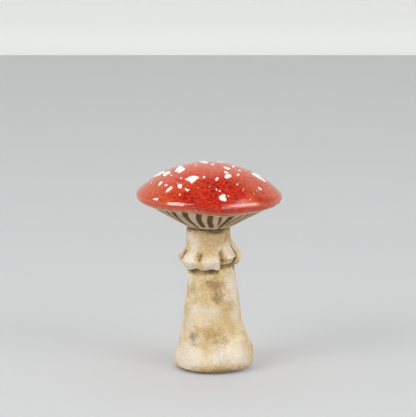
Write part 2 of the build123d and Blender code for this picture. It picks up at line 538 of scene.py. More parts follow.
class Tree:
    """A material's or a group's nodes, added and linked in short steps."""

    def __init__(self, tree: NodeTree) -> None:
        """Keep the tree that the nodes go into."""
        self.tree = tree

    def add(self, kind: str, **values: object) -> Node:
        """Add a node.

        Args:
            kind: The node's type without its ShaderNode prefix.
            **values: Properties of the node by name.

        Returns:
            The node.
        """
        node = self.tree.nodes.new(f"ShaderNode{kind}")
        for name, value in values.items():
            setattr(node, name, value)
        return node

    def feed(self, socket: Socket, value: object) -> None:
        """Link a socket to another, or set its value."""
        if isinstance(value, Socket):
            self.tree.links.new(value, socket)
        elif isinstance(value, tuple) and len(value) == 3 and socket.type == "RGBA":
            socket.default_value = (*value, 1.0)
        else:
            socket.default_value = value

    def fill(self, node: Node, **values: object) -> Node:
        """Feed a node's inputs by name, with underscores for blanks, and give the node back."""
        for name, value in values.items():
            self.feed(node.inputs[name.replace("_", " ")], value)
        return node

    def group(self, group: NodeTree, **values: object) -> Node:
        """Place a shared effect and feed its inputs."""
        return self.fill(self.add("Group", node_tree=group), **values)

    def coordinates(self) -> Socket:
        """Object coordinates, in metres."""
        return self.add("TexCoord").outputs["Object"]

    def attribute(self, name: str) -> Socket:
        """A weight that the piece keeps for its points."""
        return self.add("Attribute", attribute_name=name).outputs["Fac"]

    def scaled(self, vector: object, scale: Point, turn: Point = (0, 0, 0)) -> Socket:
        """Stretch and turn coordinates."""
        node = self.fill(self.add("Mapping"), Vector=vector, Scale=scale, Rotation=turn)
        return node.outputs["Vector"]

    def noise(self, vector: object, size: float, detail: float = 2.0, rough: float = 0.5) -> Socket:
        """Cloudy noise whose clouds have a size in millimetres."""
        node = self.add("TexNoise")
        self.fill(node, Vector=vector, Scale=1 / (size * MM), Detail=detail, Roughness=rough)
        return node.outputs["Fac"]

    def cells(self, vector: object, size: float) -> Node:
        """Scattered dots, whose cells have a size in millimetres."""
        node = self.add("TexVoronoi", feature="F1")
        return self.fill(node, Vector=vector, Scale=1 / (size * MM))

    def remap(
        self, value: object, low: float, high: float, to_low: float = 0.0, to_high: float = 1.0
    ) -> Socket:
        """Ease a value from one range to another."""
        node = self.add("MapRange", interpolation_type="SMOOTHSTEP")
        self.fill(node, Value=value, From_Min=low, From_Max=high, To_Min=to_low, To_Max=to_high)
        return node.outputs["Result"]

    def _math(self, operation: str, first: object, second: object) -> Socket:
        """Work two values out with one Math node."""
        node = self.add("Math", operation=operation)
        self.feed(node.inputs[0], first)
        self.feed(node.inputs[1], second)
        return node.outputs["Value"]

    def plus(self, first: object, second: object) -> Socket:
        """Add two values."""
        return self._math("ADD", first, second)

    def less(self, first: object, second: object) -> Socket:
        """Take the second value from the first."""
        return self._math("SUBTRACT", first, second)

    def times(self, first: object, second: object) -> Socket:
        """Multiply two values."""
        return self._math("MULTIPLY", first, second)

    def over(self, first: object, second: object) -> Socket:
        """Divide the first value by the second."""
        return self._math("DIVIDE", first, second)

    def most(self, first: object, second: object) -> Socket:
        """The larger of two values."""
        return self._math("MAXIMUM", first, second)

    def mix(self, share: object, first: object, second: object) -> Socket:
        """Mix two colours by a share."""
        node = self.fill(self.add("Mix", data_type="RGBA"), Factor=share, A=first, B=second)
        return next(out for out in node.outputs if out.type == "RGBA")

    def bump(self, height: object, strength: float, distance: float) -> Socket:
        """Turn a height into a bump, whose distance is in millimetres."""
        node = self.add("Bump")
        self.fill(node, Height=height, Strength=strength, Distance=distance * MM)
        return node.outputs["Normal"]


class Effects:
    """Node groups that more than one finish uses, each built once."""

    @staticmethod
    def _group(
        name: str, inputs: dict[str, object], outputs: Sequence[str]
    ) -> tuple[Tree, Node, Node]:
        """Start a node group.

        Args:
            name: The group's name.
            inputs: The default of each input, three numbers for a vector.
            outputs: The name of each output, which are plain values.

        Returns:
            The group's nodes, with its input node and its output node.
        """
        group = bpy.data.node_groups.new(name, "ShaderNodeTree")
        for label, default in inputs.items():
            kind = "NodeSocketVector" if isinstance(default, tuple) else "NodeSocketFloat"
            socket = group.interface.new_socket(name=label, in_out="INPUT", socket_type=kind)
            socket.default_value = default
        for label in outputs:
            group.interface.new_socket(name=label, in_out="OUTPUT", socket_type="NodeSocketFloat")
        given, made = (group.nodes.new(f"NodeGroup{end}") for end in ("Input", "Output"))
        return Tree(group), given, made

    @staticmethod
    def clay_body() -> NodeTree:
        """Grain, specks and clouding of stoneware clay.

        Returns:
            The group, with the masks Speck, Cloud and Rub and the height Grain. Rub
            breaks an oxide wash up as a sponge does.
        """
        name = "clay body"
        if name in bpy.data.node_groups:
            return bpy.data.node_groups[name]
        inputs = {"Vector": (0, 0, 0), "Speck Amount": 0.5}
        tree, given, made = Effects._group(name, inputs, ("Speck", "Cloud", "Rub", "Grain"))
        vector = given.outputs["Vector"]
        dots = tree.cells(vector, 0.95)
        parts = tree.fill(tree.add("SeparateColor"), Color=dots.outputs["Color"])
        size = tree.remap(parts.outputs["Red"], 0.2, 1.0, -0.02, 0.22)
        big = tree.remap(tree.less(size, dots.outputs["Distance"]), -0.03, 0.05)
        fine = tree.remap(tree.cells(vector, 0.46).outputs["Distance"], 0.32, 0.14)
        patchy = tree.remap(tree.noise(vector, 3.0, 4.0, 0.6), 0.4, 0.58, 0.15, 1.0)
        fine = tree.times(fine, patchy)
        speck = tree.most(big, tree.times(fine, 0.6))
        speck = tree.times(speck, given.outputs["Speck Amount"])
        cloud = tree.remap(tree.noise(vector, 8.5, 5.0, 0.62), 0.42, 0.62)
        rub = tree.remap(tree.noise(vector, 0.8, 5.0, 0.75), 0.36, 0.62, 0.5, 1.35)
        pits = tree.remap(tree.cells(vector, 0.9).outputs["Distance"], 0.05, 0.3)
        grain = tree.plus(tree.noise(vector, 0.55, 4.0, 0.6), tree.times(pits, 0.35))
        tree.fill(made, Speck=speck, Cloud=cloud, Rub=rub, Grain=grain)
        return tree.tree

    @staticmethod
    def stain() -> NodeTree:
        """A ragged patch round a place, as a group whose one output is the patch's mask."""
        name = "stain"
        if name in bpy.data.node_groups:
            return bpy.data.node_groups[name]
        inputs = {
            "Vector": (0, 0, 0),
            "Place": (0, 0, 0),
            "Stretch": (1, 1, 1),
            "Radius": 0.004,
            "Ragged": 0.5,
        }
        tree, given, made = Effects._group(name, inputs, ("Stain",))
        away = given.outputs["Vector"]
        for operation, label in (("SUBTRACT", "Place"), ("DIVIDE", "Stretch")):
            step = tree.add("VectorMath", operation=operation)
            tree.feed(step.inputs[0], away)
            tree.feed(step.inputs[1], given.outputs[label])
            away = step.outputs["Vector"]
        length = tree.fill(tree.add("VectorMath", operation="LENGTH"), Vector=away)
        share = tree.over(length.outputs["Value"], given.outputs["Radius"])
        turned = tree.scaled(given.outputs["Vector"], (1, 1, 1), (0.7, 0.5, 0.3))
        wobble = tree.less(tree.noise(turned, 2.6, 4.0, 0.6), 0.5)
        ragged = tree.times(wobble, tree.times(given.outputs["Ragged"], 2.4))
        tree.feed(made.inputs["Stain"], tree.remap(tree.plus(share, ragged), 1.3, 0.2))
        return tree.tree

    @staticmethod
    def glaze_skin() -> NodeTree:
        """The skin of a thick glaze, as a group with the height Ripple and the mask Pinhole."""
        name = "glaze skin"
        if name in bpy.data.node_groups:
            return bpy.data.node_groups[name]
        inputs = {"Vector": (0, 0, 0), "Pinholes": 1.0}
        tree, given, made = Effects._group(name, inputs, ("Ripple", "Pinhole"))
        vector = given.outputs["Vector"]
        slow = tree.noise(vector, 3.0, 2.0, 0.45)
        quick = tree.noise(vector, 0.9, 2.0, 0.5)
        ripple = tree.plus(slow, tree.times(quick, 0.16))
        holes = tree.remap(tree.cells(vector, 1.6).outputs["Distance"], 0.12, 0.05)
        tree.fill(made, Ripple=ripple, Pinhole=tree.times(holes, given.outputs["Pinholes"]))
        return tree.tree


@dataclass(frozen=True)
class Finish:
    """A material with a Principled shader, filled in by its own kind."""

    name: str = "finish"

    def make(self) -> Material:
        """Make the material.

        Returns:
            The material, ready for a piece.
        """
        material = bpy.data.materials.new(self.name)
        material.use_nodes = True
        tree = Tree(material.node_tree)
        self.paint(tree, material.node_tree.nodes["Principled BSDF"])
        return material

    def paint(self, tree: Tree, shader: Node) -> None:
        """Fill in the shader."""
        raise NotImplementedError


@dataclass(frozen=True)
class Stain:
    """A patch painted on the clay; most are marks of the wash, some are painted light and some
    painted shade.

    Attributes:
        place: Its middle.
        stretch: Its shape, across, deep and up, with 1 for round.
        radius: Its radius.
        colour: Its colour.
        strength: How far it covers the clay.
        ragged: How ragged its edge is.
    """

    place: Point
    stretch: Point
    radius: float
    colour: Colour
    strength: float
    ragged: float = 0.5


CREAM = linear(238, 217, 174)
PALE = linear(251, 242, 225)
OCHRE = linear(214, 175, 104)
LOW_OCHRE = linear(210, 172, 104)
DEEP_OCHRE = linear(146, 112, 64)
UMBER = linear(82, 62, 42)
ASH = linear(124, 110, 96)
TERRACOTTA = linear(194, 116, 70)
IRON = linear(104, 78, 48)


# The patches painted on the stem and on the skirt: ochre and umber marks that the wash left, with
# painted light and painted shade among them
STEM_PATCHES = (
    Stain((-2, -12, 37.5), (2.2, 1.4, 2), 4.4, OCHRE, 0.68, 0.7),
    Stain((0.6, -11.5, 38.4), (1.4, 2, 0.9), 3.2, DEEP_OCHRE, 0.95, 0.8),
    Stain((2.3, -11.5, 33.2), (1.1, 2, 1), 3.2, DEEP_OCHRE, 0.95, 0.8),
    # Pale patch on the neck's left: painted light on the lit side.
    Stain((-8.6, -6, 58.6), (1, 3, 1), 3.6, PALE, 0.85, 0.5),
    Stain((6, -8, 58.4), (1, 3, 1), 2.8, OCHRE, 0.8, 0.7),
    Stain((6.8, -7, 60.2), (1, 3, 0.8), 1.8, DEEP_OCHRE, 0.6, 0.7),
    Stain((-8.8, -8.5, 36.5), (0.8, 1.2, 1.6), 2.4, DEEP_OCHRE, 0.35, 0.7),
    Stain((7, -10, 29.5), (1.5, 1.4, 1.2), 3.4, OCHRE, 0.55, 0.7),
    Stain((9, -8, 38), (1, 1.2, 2), 2.6, PALE, 0.7, 0.5),
    Stain((0, -12.5, 27), (1.5, 1.2, 1), 3.2, PALE, 0.55, 0.5),
    Stain((-6.5, -10.5, 31.3), (1.8, 1.4, 1), 3.2, OCHRE, 0.5, 0.7),
    Stain((-6.5, -11, 25), (2, 1.4, 0.8), 3.4, OCHRE, 0.3, 0.7),
    Stain((3, -9.6, 57.4), (1.8, 2, 0.8), 4, DEEP_OCHRE, 0.32, 0.8),
    Stain((10.5, -8, 25), (0.9, 1.2, 1.5), 2.4, PALE, 0.7, 0.5),
    Stain((0.5, -13, 18.5), (2.3, 1.4, 1.1), 5, LOW_OCHRE, 0.85, 0.6),
    Stain((6.5, -12, 22.6), (1.3, 1.2, 1), 2.6, OCHRE, 0.7, 0.7),
    Stain((-0.5, -13.2, 17.5), (2.2, 1.2, 0.9), 3, DEEP_OCHRE, 0.5, 0.8),
    Stain((4.5, -13.2, 14.2), (1.6, 1.2, 0.7), 2.4, DEEP_OCHRE, 0.4, 0.8),
    Stain((-3.4, -14.6, 10.5), (1.1, 1.2, 1.6), 2.6, OCHRE, 0.7, 0.7),
    Stain((-8.2, -11.5, 16.4), (1.3, 4, 1), 2, ASH, 0.55, 0.6),
    Stain((-8.9, -10.6, 15.2), (0.8, 4, 1.2), 1.7, ASH, 0.9, 0.5),
    Stain((-8, -12, 12.6), (1.6, 4, 0.8), 1.7, ASH, 0.6, 0.6),
    Stain((7.8, -12.4, 16.2), (0.8, 1.2, 1), 1.1, OCHRE, 0.85, 0.5),
    Stain((-12.2, -6, 13), (0.7, 1.6, 3.4), 1.8, OCHRE, 0.25, 0.6),
    Stain((-15, -6, 7.5), (1, 2, 1.6), 3.6, PALE, 0.9, 0.4),
    Stain((-10, -13, 6.5), (1.5, 2, 1.4), 5, PALE, 0.95, 0.4),
    Stain((9.5, -13.5, 7.4), (1.8, 1.2, 1), 5, PALE, 0.7, 0.4),
    Stain((9.5, -12.5, 13), (1.6, 1.4, 0.8), 3.4, OCHRE, 0.4, 0.6),
    Stain((2.6, -16, 2.9), (3.6, 2, 0.5), 3.6, OCHRE, 0.7, 0.8),
    Stain((4, -16, 1.9), (3.4, 2, 0.4), 3, DEEP_OCHRE, 0.6, 0.8),
    Stain((16.8, -4, 9), (0.5, 1.6, 2.4), 2.2, OCHRE, 0.8, 0.6),
    Stain((11.2, -4, 34), (0.5, 1.6, 2.6), 2.2, OCHRE, 0.6, 0.6),
    Stain((-2, -9.5, 60), (2.2, 1.4, 0.8), 3.6, OCHRE, 0.7, 0.8),
    Stain((5, 10, 34), (1.6, 1.2, 1.4), 5, OCHRE, 0.6, 0.6),
    Stain((-4, 12, 20), (1.5, 1.2, 1), 5, DEEP_OCHRE, 0.4, 0.8),
    Stain((0, 15, 7), (2, 1.2, 0.9), 5, PALE, 0.8, 0.5),
)
SKIRT_PATCHES = (
    Stain((-2.4, -11.5, 54), (2.4, 1.3, 1.2), 3.2, OCHRE, 0.75, 0.8),
    Stain((3, -9.6, 57.4), (1.8, 2, 0.8), 4, DEEP_OCHRE, 0.32, 0.8),
    # Pale patches on the crests of the lobes: painted highlight.
    Stain((-9.6, -9.5, 50), (1.2, 1.3, 1.6), 3.2, PALE, 0.95, 0.4),
    Stain((-2.2, -13.4, 48.6), (1.4, 1.2, 1), 2.9, PALE, 0.95, 0.4),
    Stain((7.4, -10, 52), (0.9, 1.3, 1.8), 2.4, PALE, 0.9, 0.4),
    Stain((12.4, -3, 50), (0.8, 1.3, 1.2), 2.6, PALE, 0.9, 0.4),
    Stain((4.6, -11.4, 49.6), (0.8, 3, 1.4), 2.2, OCHRE, 0.9, 0.6),
    # Umber in the fold right of the middle lobe: painted shade.
    Stain((3.6, -11.4, 51.4), (0.5, 3, 1.5), 1.9, UMBER, 0.85, 0.5),
    Stain((4.1, -11.4, 49.4), (0.5, 3, 1.6), 1.6, UMBER, 0.85, 0.5),
    Stain((-6.2, -11.2, 50.6), (0.9, 3, 1.3), 2.2, OCHRE, 0.85, 0.7),
    # Umber in the pit left of the middle lobe: painted shade.
    Stain((-6.3, -11.2, 51.4), (0.5, 3, 1.4), 1.5, UMBER, 0.8, 0.5),
    Stain((-4.6, -12, 47.2), (0.9, 1.2, 1.2), 1.4, OCHRE, 0.7, 0.7),
    Stain((7.4, -9.6, 49.2), (1, 1.4, 0.8), 0.8, TERRACOTTA, 0.95, 0.4),
    # Pale patch on the neck's left: painted light on the lit side.
    Stain((-9, -7.5, 56), (1, 1.2, 1.2), 2.6, PALE, 0.8, 0.4),
    Stain((3, 12, 49), (2, 1.2, 1), 4, PALE, 0.8, 0.5),
)


@dataclass(frozen=True)
class Stoneware(Finish):
    """Cream stoneware with an ochre oxide wash, and painted light and shade among its patches and
    in its hollows.
    """

    name: str = "stoneware"
    painted_patches: tuple[Stain, ...] = ()
    cavity: str = ""
    speck_amount: float = 0.8
    washed: float = 0.6

    def paint(self, tree: Tree, shader: Node) -> None:
        """Layer the wash, the patches, the oxide and painted shade in the hollows, and the specks.
        """
        vector = tree.coordinates()
        body = tree.group(Effects.clay_body(), Vector=vector, Speck_Amount=self.speck_amount)
        names = ("Cloud", "Speck", "Rub", "Grain")
        cloud, speck, rub, grain = (body.outputs[name] for name in names)
        colour = tree.mix(tree.remap(tree.noise(vector, 14.0, 3.0), 0.35, 0.65), CREAM, PALE)
        colour = tree.mix(tree.times(tree.times(cloud, rub), self.washed), colour, OCHRE)
        # Some patches are painted light on the lit side and painted shade in the folds.
        for stain in self.painted_patches:
            spot = tree.group(
                Effects.stain(),
                Vector=vector,
                Place=tuple(part * MM for part in stain.place),
                Stretch=stain.stretch,
                Radius=stain.radius * MM,
                Ragged=stain.ragged,
            )
            share = tree.times(spot.outputs["Stain"], stain.strength)
            colour = tree.mix(tree.times(share, rub), colour, stain.colour)
        # The hollows' weight darkens through ochre and umber: oxide and painted shade in the
        # skirt's folds, painted shadow under and inside the skirt, and darker under the cap and at
        # the foot.
        if self.cavity:
            depth = tree.attribute(self.cavity)
            rough = tree.plus(tree.noise(vector, 1.5, 3.0, 0.6), tree.times(grain, 0.4))
            edge = tree.plus(depth, tree.times(tree.less(rough, 0.78), 0.9))
            edge = tree.times(edge, tree.remap(depth, 0.0, 0.15))
            colour = tree.mix(tree.remap(edge, 0.1, 0.7, 0.0, 0.85), colour, OCHRE)
            colour = tree.mix(tree.remap(edge, 0.35, 0.9, 0.0, 0.85), colour, DEEP_OCHRE)
            colour = tree.mix(tree.remap(edge, 0.7, 1.1, 0.0, 0.92), colour, UMBER)
        colour = tree.mix(tree.remap(rub, 0.6, 1.3, 0.0, 0.22), colour, OCHRE)
        colour = tree.mix(speck, colour, IRON)
        rough = tree.remap(cloud, 0, 1, 0.58, 0.72)
        tree.fill(shader, Base_Color=colour, Roughness=rough, Specular_IOR_Level=0.35)
        tree.fill(shader, Normal=tree.bump(grain, 0.35, 0.12))


@dataclass(frozen=True)
class GillClay(Finish):
    """Bare clay with oxide left in the carved grooves, and painted shade towards the neck."""

    name: str = "gill_clay"
    groove: str = "groove"
    ridge: Colour = linear(228, 204, 178)
    clouded: Colour = linear(206, 178, 146)
    washed: Colour = linear(138, 112, 76)
    deep: Colour = linear(88, 70, 48)

    def paint(self, tree: Tree, shader: Node) -> None:
        """Darken the grooves, and the dish towards the neck as painted shade; leave the ridges
        pale.
        """
        vector = tree.coordinates()
        body = tree.group(Effects.clay_body(), Vector=vector, Speck_Amount=0.45)
        grain = body.outputs["Grain"]
        ridge = tree.mix(body.outputs["Cloud"], self.ridge, self.clouded)
        depth = tree.attribute(self.groove)
        rough = tree.plus(tree.noise(vector, 1.2, 3.0, 0.6), tree.times(grain, 0.3))
        edge = tree.plus(depth, tree.times(tree.less(rough, 0.7), 0.55))
        colour = tree.mix(tree.remap(edge, 0.1, 0.6), ridge, self.washed)
        colour = tree.mix(tree.remap(edge, 0.6, 1.15, 0.0, 0.8), colour, self.deep)
        colour = tree.mix(body.outputs["Speck"], colour, UMBER)
        tree.fill(shader, Base_Color=colour, Roughness=0.75, Specular_IOR_Level=0.25)
        tree.fill(shader, Normal=tree.bump(grain, 0.3, 0.1))


@dataclass(frozen=True)
class RedGlaze(Finish):
    """Glossy red glaze, speckled where the clay burns through."""

    name: str = "red_glaze"
    glazed: str = "glazed"
    thin: str = "thin"
    pool: str = "pool"
    # Paler red on top and at the sides is painted sheen; the broad noise also varies it at random.
    pale_red_and_sheen: Colour = linear(224, 88, 46)
    full_red: Colour = linear(212, 42, 13)
    dark_red: Colour = linear(120, 12, 6)
    orange: Colour = linear(232, 98, 56)
    burnt_red: Colour = linear(86, 16, 10)
    thin_edge: Colour = linear(228, 146, 108)
    bare_clay: Colour = linear(214, 190, 156)
    bare_stain: Colour = linear(188, 156, 116)

    def paint(self, tree: Tree, shader: Node) -> None:
        """Mottle the red, paler on top and at the sides as painted sheen, and leave the clay bare
        under the rim.
        """
        vector = tree.coordinates()
        skin = tree.group(Effects.glaze_skin(), Vector=vector, Pinholes=1.0)
        body = tree.group(Effects.clay_body(), Vector=vector, Speck_Amount=0.9)
        # Deeper red where the glaze pools towards the rim and at the front; paler on top and at the
        # sides as painted sheen.
        pool = tree.attribute(self.pool)
        broad = tree.plus(pool, tree.remap(tree.noise(vector, 9.0, 3.0), 0.3, 0.7, -0.3, 0.3))
        colour = tree.mix(tree.remap(broad, 0.1, 1.0), self.pale_red_and_sheen, self.full_red)
        mottle = tree.noise(vector, 1.3, 5.0, 0.75)
        pooled = tree.remap(pool, 0.0, 1.0, 0.4, 1.0)
        thicker = tree.times(tree.remap(tree.noise(vector, 6.0, 3.0), 0.35, 0.65, 0.6, 1.0), pooled)
        dark = tree.times(tree.remap(mottle, 0.5, 0.59), thicker)
        colour = tree.mix(dark, colour, self.dark_red)
        colour = tree.mix(tree.remap(mottle, 0.45, 0.34, 0.0, 0.75), colour, self.orange)
        burnt = tree.remap(tree.noise(vector, 1.6, 5.0, 0.75), 0.54, 0.64, 0.0, 0.85)
        burnt = tree.most(tree.times(burnt, thicker), body.outputs["Speck"])
        colour = tree.mix(burnt, colour, self.burnt_red)
        thin = tree.plus(tree.attribute(self.thin), tree.times(tree.less(mottle, 0.5), 2.2))
        colour = tree.mix(tree.remap(thin, 0.26, 0.82, 0.0, 0.85), colour, self.thin_edge)
        bare = tree.mix(body.outputs["Cloud"], self.bare_clay, self.bare_stain)
        cover = tree.remap(tree.attribute(self.glazed), 0.35, 0.65)
        colour = tree.mix(cover, bare, colour)
        tree.fill(shader, Base_Color=colour, Roughness=tree.remap(cover, 0, 1, 0.7, 0.16))
        height = tree.plus(skin.outputs["Ripple"], tree.times(skin.outputs["Pinhole"], -0.25))
        tree.fill(shader, Normal=tree.bump(height, 0.4, 0.3))


@dataclass(frozen=True)
class WhiteGlaze(Finish):
    """Thick white glaze, a little creamy where it thins."""

    name: str = "white_glaze"
    white: Colour = linear(254, 253, 252)
    creamy: Colour = linear(249, 244, 238)
    pinhole: Colour = linear(214, 170, 150)

    def paint(self, tree: Tree, shader: Node) -> None:
        """Vary the white softly."""
        vector = tree.coordinates()
        skin = tree.group(Effects.glaze_skin(), Vector=vector, Pinholes=0.6)
        tone = tree.remap(tree.noise(vector, 2.2, 3.0), 0.4, 0.7)
        colour = tree.mix(tone, self.white, self.creamy)
        colour = tree.mix(tree.times(skin.outputs["Pinhole"], 0.3), colour, self.pinhole)
        tree.fill(shader, Base_Color=colour, Roughness=tree.remap(tone, 0, 1, 0.2, 0.35))
        tree.fill(shader, Normal=tree.bump(skin.outputs["Ripple"], 0.3, 0.2))


@dataclass(frozen=True)
class DarkSlip(Finish):
    """Matte oxide slip with clay showing through."""

    name: str = "dark_slip"
    slip: Colour = linear(74, 60, 46)
    clay: Colour = linear(176, 146, 104)

    def paint(self, tree: Tree, shader: Node) -> None:
        """Break the dark up with clay."""
        vector = tree.coordinates()
        body = tree.group(Effects.clay_body(), Vector=vector, Speck_Amount=0.5)
        patch = tree.remap(tree.noise(vector, 2.2, 4.0, 0.7), 0.4, 0.56)
        colour = tree.mix(patch, self.slip, self.clay)
        tree.fill(shader, Base_Color=colour, Roughness=tree.remap(patch, 0, 1, 0.85, 0.7))
        tree.fill(shader, Normal=tree.bump(body.outputs["Grain"], 0.5, 0.15))


@dataclass(frozen=True)
class Felt(Finish):
    """Pressed wool felt."""

    name: str = "felt"
    shade: Colour = linear(176, 158, 148)
    wool: Colour = linear(210, 192, 182)

    def paint(self, tree: Tree, shader: Node) -> None:
        """Lay short fibres one over the other."""
        vector = tree.coordinates()
        along = tree.noise(tree.scaled(vector, (1, 5, 1)), 1.0, 3.0, 0.6)
        across = tree.noise(tree.scaled(vector, (5, 1, 1)), 1.0, 3.0, 0.6)
        fibre = tree.most(along, across)
        colour = tree.mix(tree.remap(fibre, 0.45, 0.75), self.shade, self.wool)
        tree.fill(shader, Base_Color=colour, Roughness=0.95, Sheen_Weight=0.25)
        tree.fill(shader, Normal=tree.bump(fibre, 0.6, 0.12))


@dataclass(frozen=True)
class Plain(Finish):
    """One even, matte tone for the stage."""

    name: str = "stage"
    colour: Colour = (0.6, 0.6, 0.6)
    clouds: float = 0.02
    lifted: float = 0.0

    def paint(self, tree: Tree, shader: Node) -> None:
        """Keep the tone all but even, and lift it for the camera and in a gloss."""
        darker = tuple(part * (1 - self.clouds) for part in self.colour)
        tone = tree.mix(tree.noise(tree.coordinates(), 60.0, 2.0), self.colour, darker)
        tree.fill(shader, Base_Color=tone, Roughness=0.85, Specular_IOR_Level=0.1)
        path = tree.add("LightPath")
        seen = tree.most(path.outputs["Is Camera Ray"], path.outputs["Is Glossy Ray"])
        light = tree.times(seen, self.lifted)
        tree.fill(shader, Emission_Color=self.colour, Emission_Strength=light)


def arc(middle: Place, radius: float, start: float, end: float, steps: int) -> list[Place]:
    """Points along an arc.

    Args:
        middle: The arc's middle, as radius and height.
        radius: Its radius.
        start: The angle it starts at, in degrees from straight out.
        end: The angle it ends at.
        steps: Steps between them.

    Returns:
        The points, both ends among them.
    """
    points = []
    for step in range(steps + 1):
        angle = math.radians(start + (end - start) * step / steps)
        points.append((middle[0] + radius * math.cos(angle), middle[1] + radius * math.sin(angle)))
    return points


def run(start: Place, end: Place, steps: int) -> list[Place]:
    """Points along a straight run, without its start."""
    return [
        tuple(here + (there - here) * step / steps for here, there in zip(start, end))
        for step in range(1, steps + 1)
    ]


@dataclass(frozen=True)
class Layout:
    """Where the parts of the ornament lie.

    Attributes:
        foot_shift: How far right of the origin the stem's axis meets the pad.
        lean: The stem's lean to the left, in degrees.
        pad: The pad's thickness.
        neck: Height of the stem's neck above the pad.
        slip: Thickness of the slip on the neck.
        tilt: The cap's tilt, its right side lower, in degrees.
        hem_low: Height of the skirt's hem before it is drawn up.
        hem_lift: How far the hem is drawn up, by the angle round the stem.
        seam: Angle of the skirt's seam, where its upper end stops.
        seam_end: Angle at which the tucked end stops.
        seam_step: How much higher the tucked end's hem lies.
        gill_neck: Radius at which the gills' cone begins.
        gill_slope: Rise of the cone for each millimetre outwards.
        glaze_edge: Radius of the glaze's edge under the rim, by the angle from the front.
        bare_band: Width of the bare clay between the gills and the glaze.
        rim_wave: How far the rim is drawn up, by the angle from the front.
    """

    foot_shift: float = 0.7
    lean: float = 2.4
    pad: float = 1.2
    neck: float = 61.0
    slip: float = 0.6
    tilt: float = 1.0
    hem_low: float = 43.1
    hem_lift: tuple[Place, ...] = (
        (-180, 3.5), (-165, 3.1), (-153, 2.1), (-142, 1.5), (-125, 1.7), (-90, 2.0), (-66, 2.1),
        (-30, 2.4), (0, 3.3), (40, 2.2), (75, 2.8), (110, 1.6), (145, 2.9), (180, 3.5),
    )  # fmt: skip
    seam: float = -68.0
    seam_end: float = -24.0
    seam_step: float = 1.8
    gill_neck: float = 10.1
    gill_slope: float = 0.567
    glaze_edge: tuple[Place, ...] = (
        (-180, 27.8), (-120, 28.2), (-75, 28.4), (-48, 28.5), (-36, 28.7), (-24, 28.8),
        (-12, 28.7), (-6, 28.4), (1, 27.5), (10, 26.8), (20, 26.4), (30, 27.1),
        (40, 27.8), (50, 28.3), (80, 28.2), (120, 28.2), (150, 27.8), (180, 27.8),
    )  # fmt: skip
    bare_band: float = 0.7
    rim_wave: tuple[Place, ...] = (
        (-180, 0.0), (-75, 0.05), (-45, 0.4), (-20, 0.5), (-8, 0.4), (2, 0.1),
        (12, -0.12), (25, -0.1), (40, 0.1), (60, 0.0), (180, 0.0),
    )  # fmt: skip

    def lip(self, points: np.ndarray) -> np.ndarray:
        """Radius at which the gills end and the cap's own clay begins, in line with each point."""
        return np.interp(from_front(points), *zip(*self.glaze_edge)) - self.bare_band

    def cone(self, reaches: np.ndarray) -> np.ndarray:
        """Height of the gills' cone at radii from the cap's axis."""
        return self.gill_slope * (reaches - self.gill_neck).clip(0)

    def waved(self, points: np.ndarray) -> np.ndarray:
        """Give the rim the wave that the hand left in it.

        Args:
            points: The points in the cap's own frame.

        Returns:
            The points with the rim drawn up and down.
        """
        near = smooth_step(22.0, 28.0, radii(points)) * smooth_step(16.5, 13.5, points[:, 2])
        wave = np.interp(from_front(points), *zip(*self.rim_wave)) * near
        return points + np.stack([wave * 0, wave * 0, wave], axis=1)

    def axis(self, heights: np.ndarray) -> np.ndarray:
        """The stem's axis, across and deep, at heights above the table."""
        across = self.foot_shift - (heights - self.pad) * math.tan(math.radians(self.lean))
        return np.stack([across, np.zeros_like(across)], axis=1)

    def lapped(self, angles: np.ndarray) -> np.ndarray:
        """Share, at angles round the stem, in which one end of the skirt lies under the other."""
        past = smooth_step(self.seam - 0.4, self.seam + 0.8, angles)
        before = smooth_step(self.seam_end + 6.0, self.seam_end - 4.0, angles)
        return past * before

    def lift(self, angles: np.ndarray) -> np.ndarray:
        """How far the skirt's hem is drawn up at angles round the stem."""
        return np.interp(angles, *zip(*self.hem_lift)) + self.lapped(angles) * self.seam_step

    def cap_place(self) -> Matrix:
        """The plane where the gills meet the slip."""
        across = self.foot_shift - self.neck * math.tan(math.radians(self.lean))
        place = Matrix.Translation(Vector((across, 0, self.pad + self.neck + self.slip)) * MM)
        return place @ Matrix.Rotation(math.radians(self.tilt), 4, "Y")


@dataclass
class FootPad:
    """The felt disc under the foot."""

    radius: float = 13.6
    thickness: float = 1.2
    edge: float = 0.22
    fluff: float = 0.5
    sides: int = 120
    hand: tuple[Marks, ...] = (Marks(3, 0.8, 0.08),)
    finish: Finish = Felt()

    def build(self) -> Piece:
        """Cut the disc, soften its edge and fluff its rim.

        Returns:
            The dressed disc.
        """
        Bench.clear()
        bpy.ops.mesh.primitive_cylinder_add(
            vertices=self.sides,
            radius=self.radius * MM,
            depth=self.thickness * MM,
            location=(0, 0, self.thickness * MM / 2),
            end_fill_type="TRIFAN",
        )
        piece = Bench.started("foot_pad_felt")
        Bench.seat(piece, Matrix.Translation((0, 0, self.thickness * MM / 2)))
        Bench.modify(piece, "BEVEL", width=self.edge * MM, segments=3, limit_method="ANGLE")
        reach = radii(Bench.points(piece)) / MM
        rim = smooth_step(self.radius - 0.5, self.radius - 0.2, reach)
        Bench.group(piece, "rim", rim * self.fluff)
        Bench.roughen(piece, self.hand, "rim")
        points = Bench.points(piece)
        reach = radii(points) / MM
        points[:, :2] *= np.minimum(1.0, self.radius / reach.clip(0.01))[:, None]
        points[:, 2] = points[:, 2].clip(0.0, self.thickness * MM)
        Bench.place_points(piece, points)
        Bench.finish(piece, self.finish.make(), 60)
        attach(piece, "root")
        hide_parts("foot_pad")
        return piece


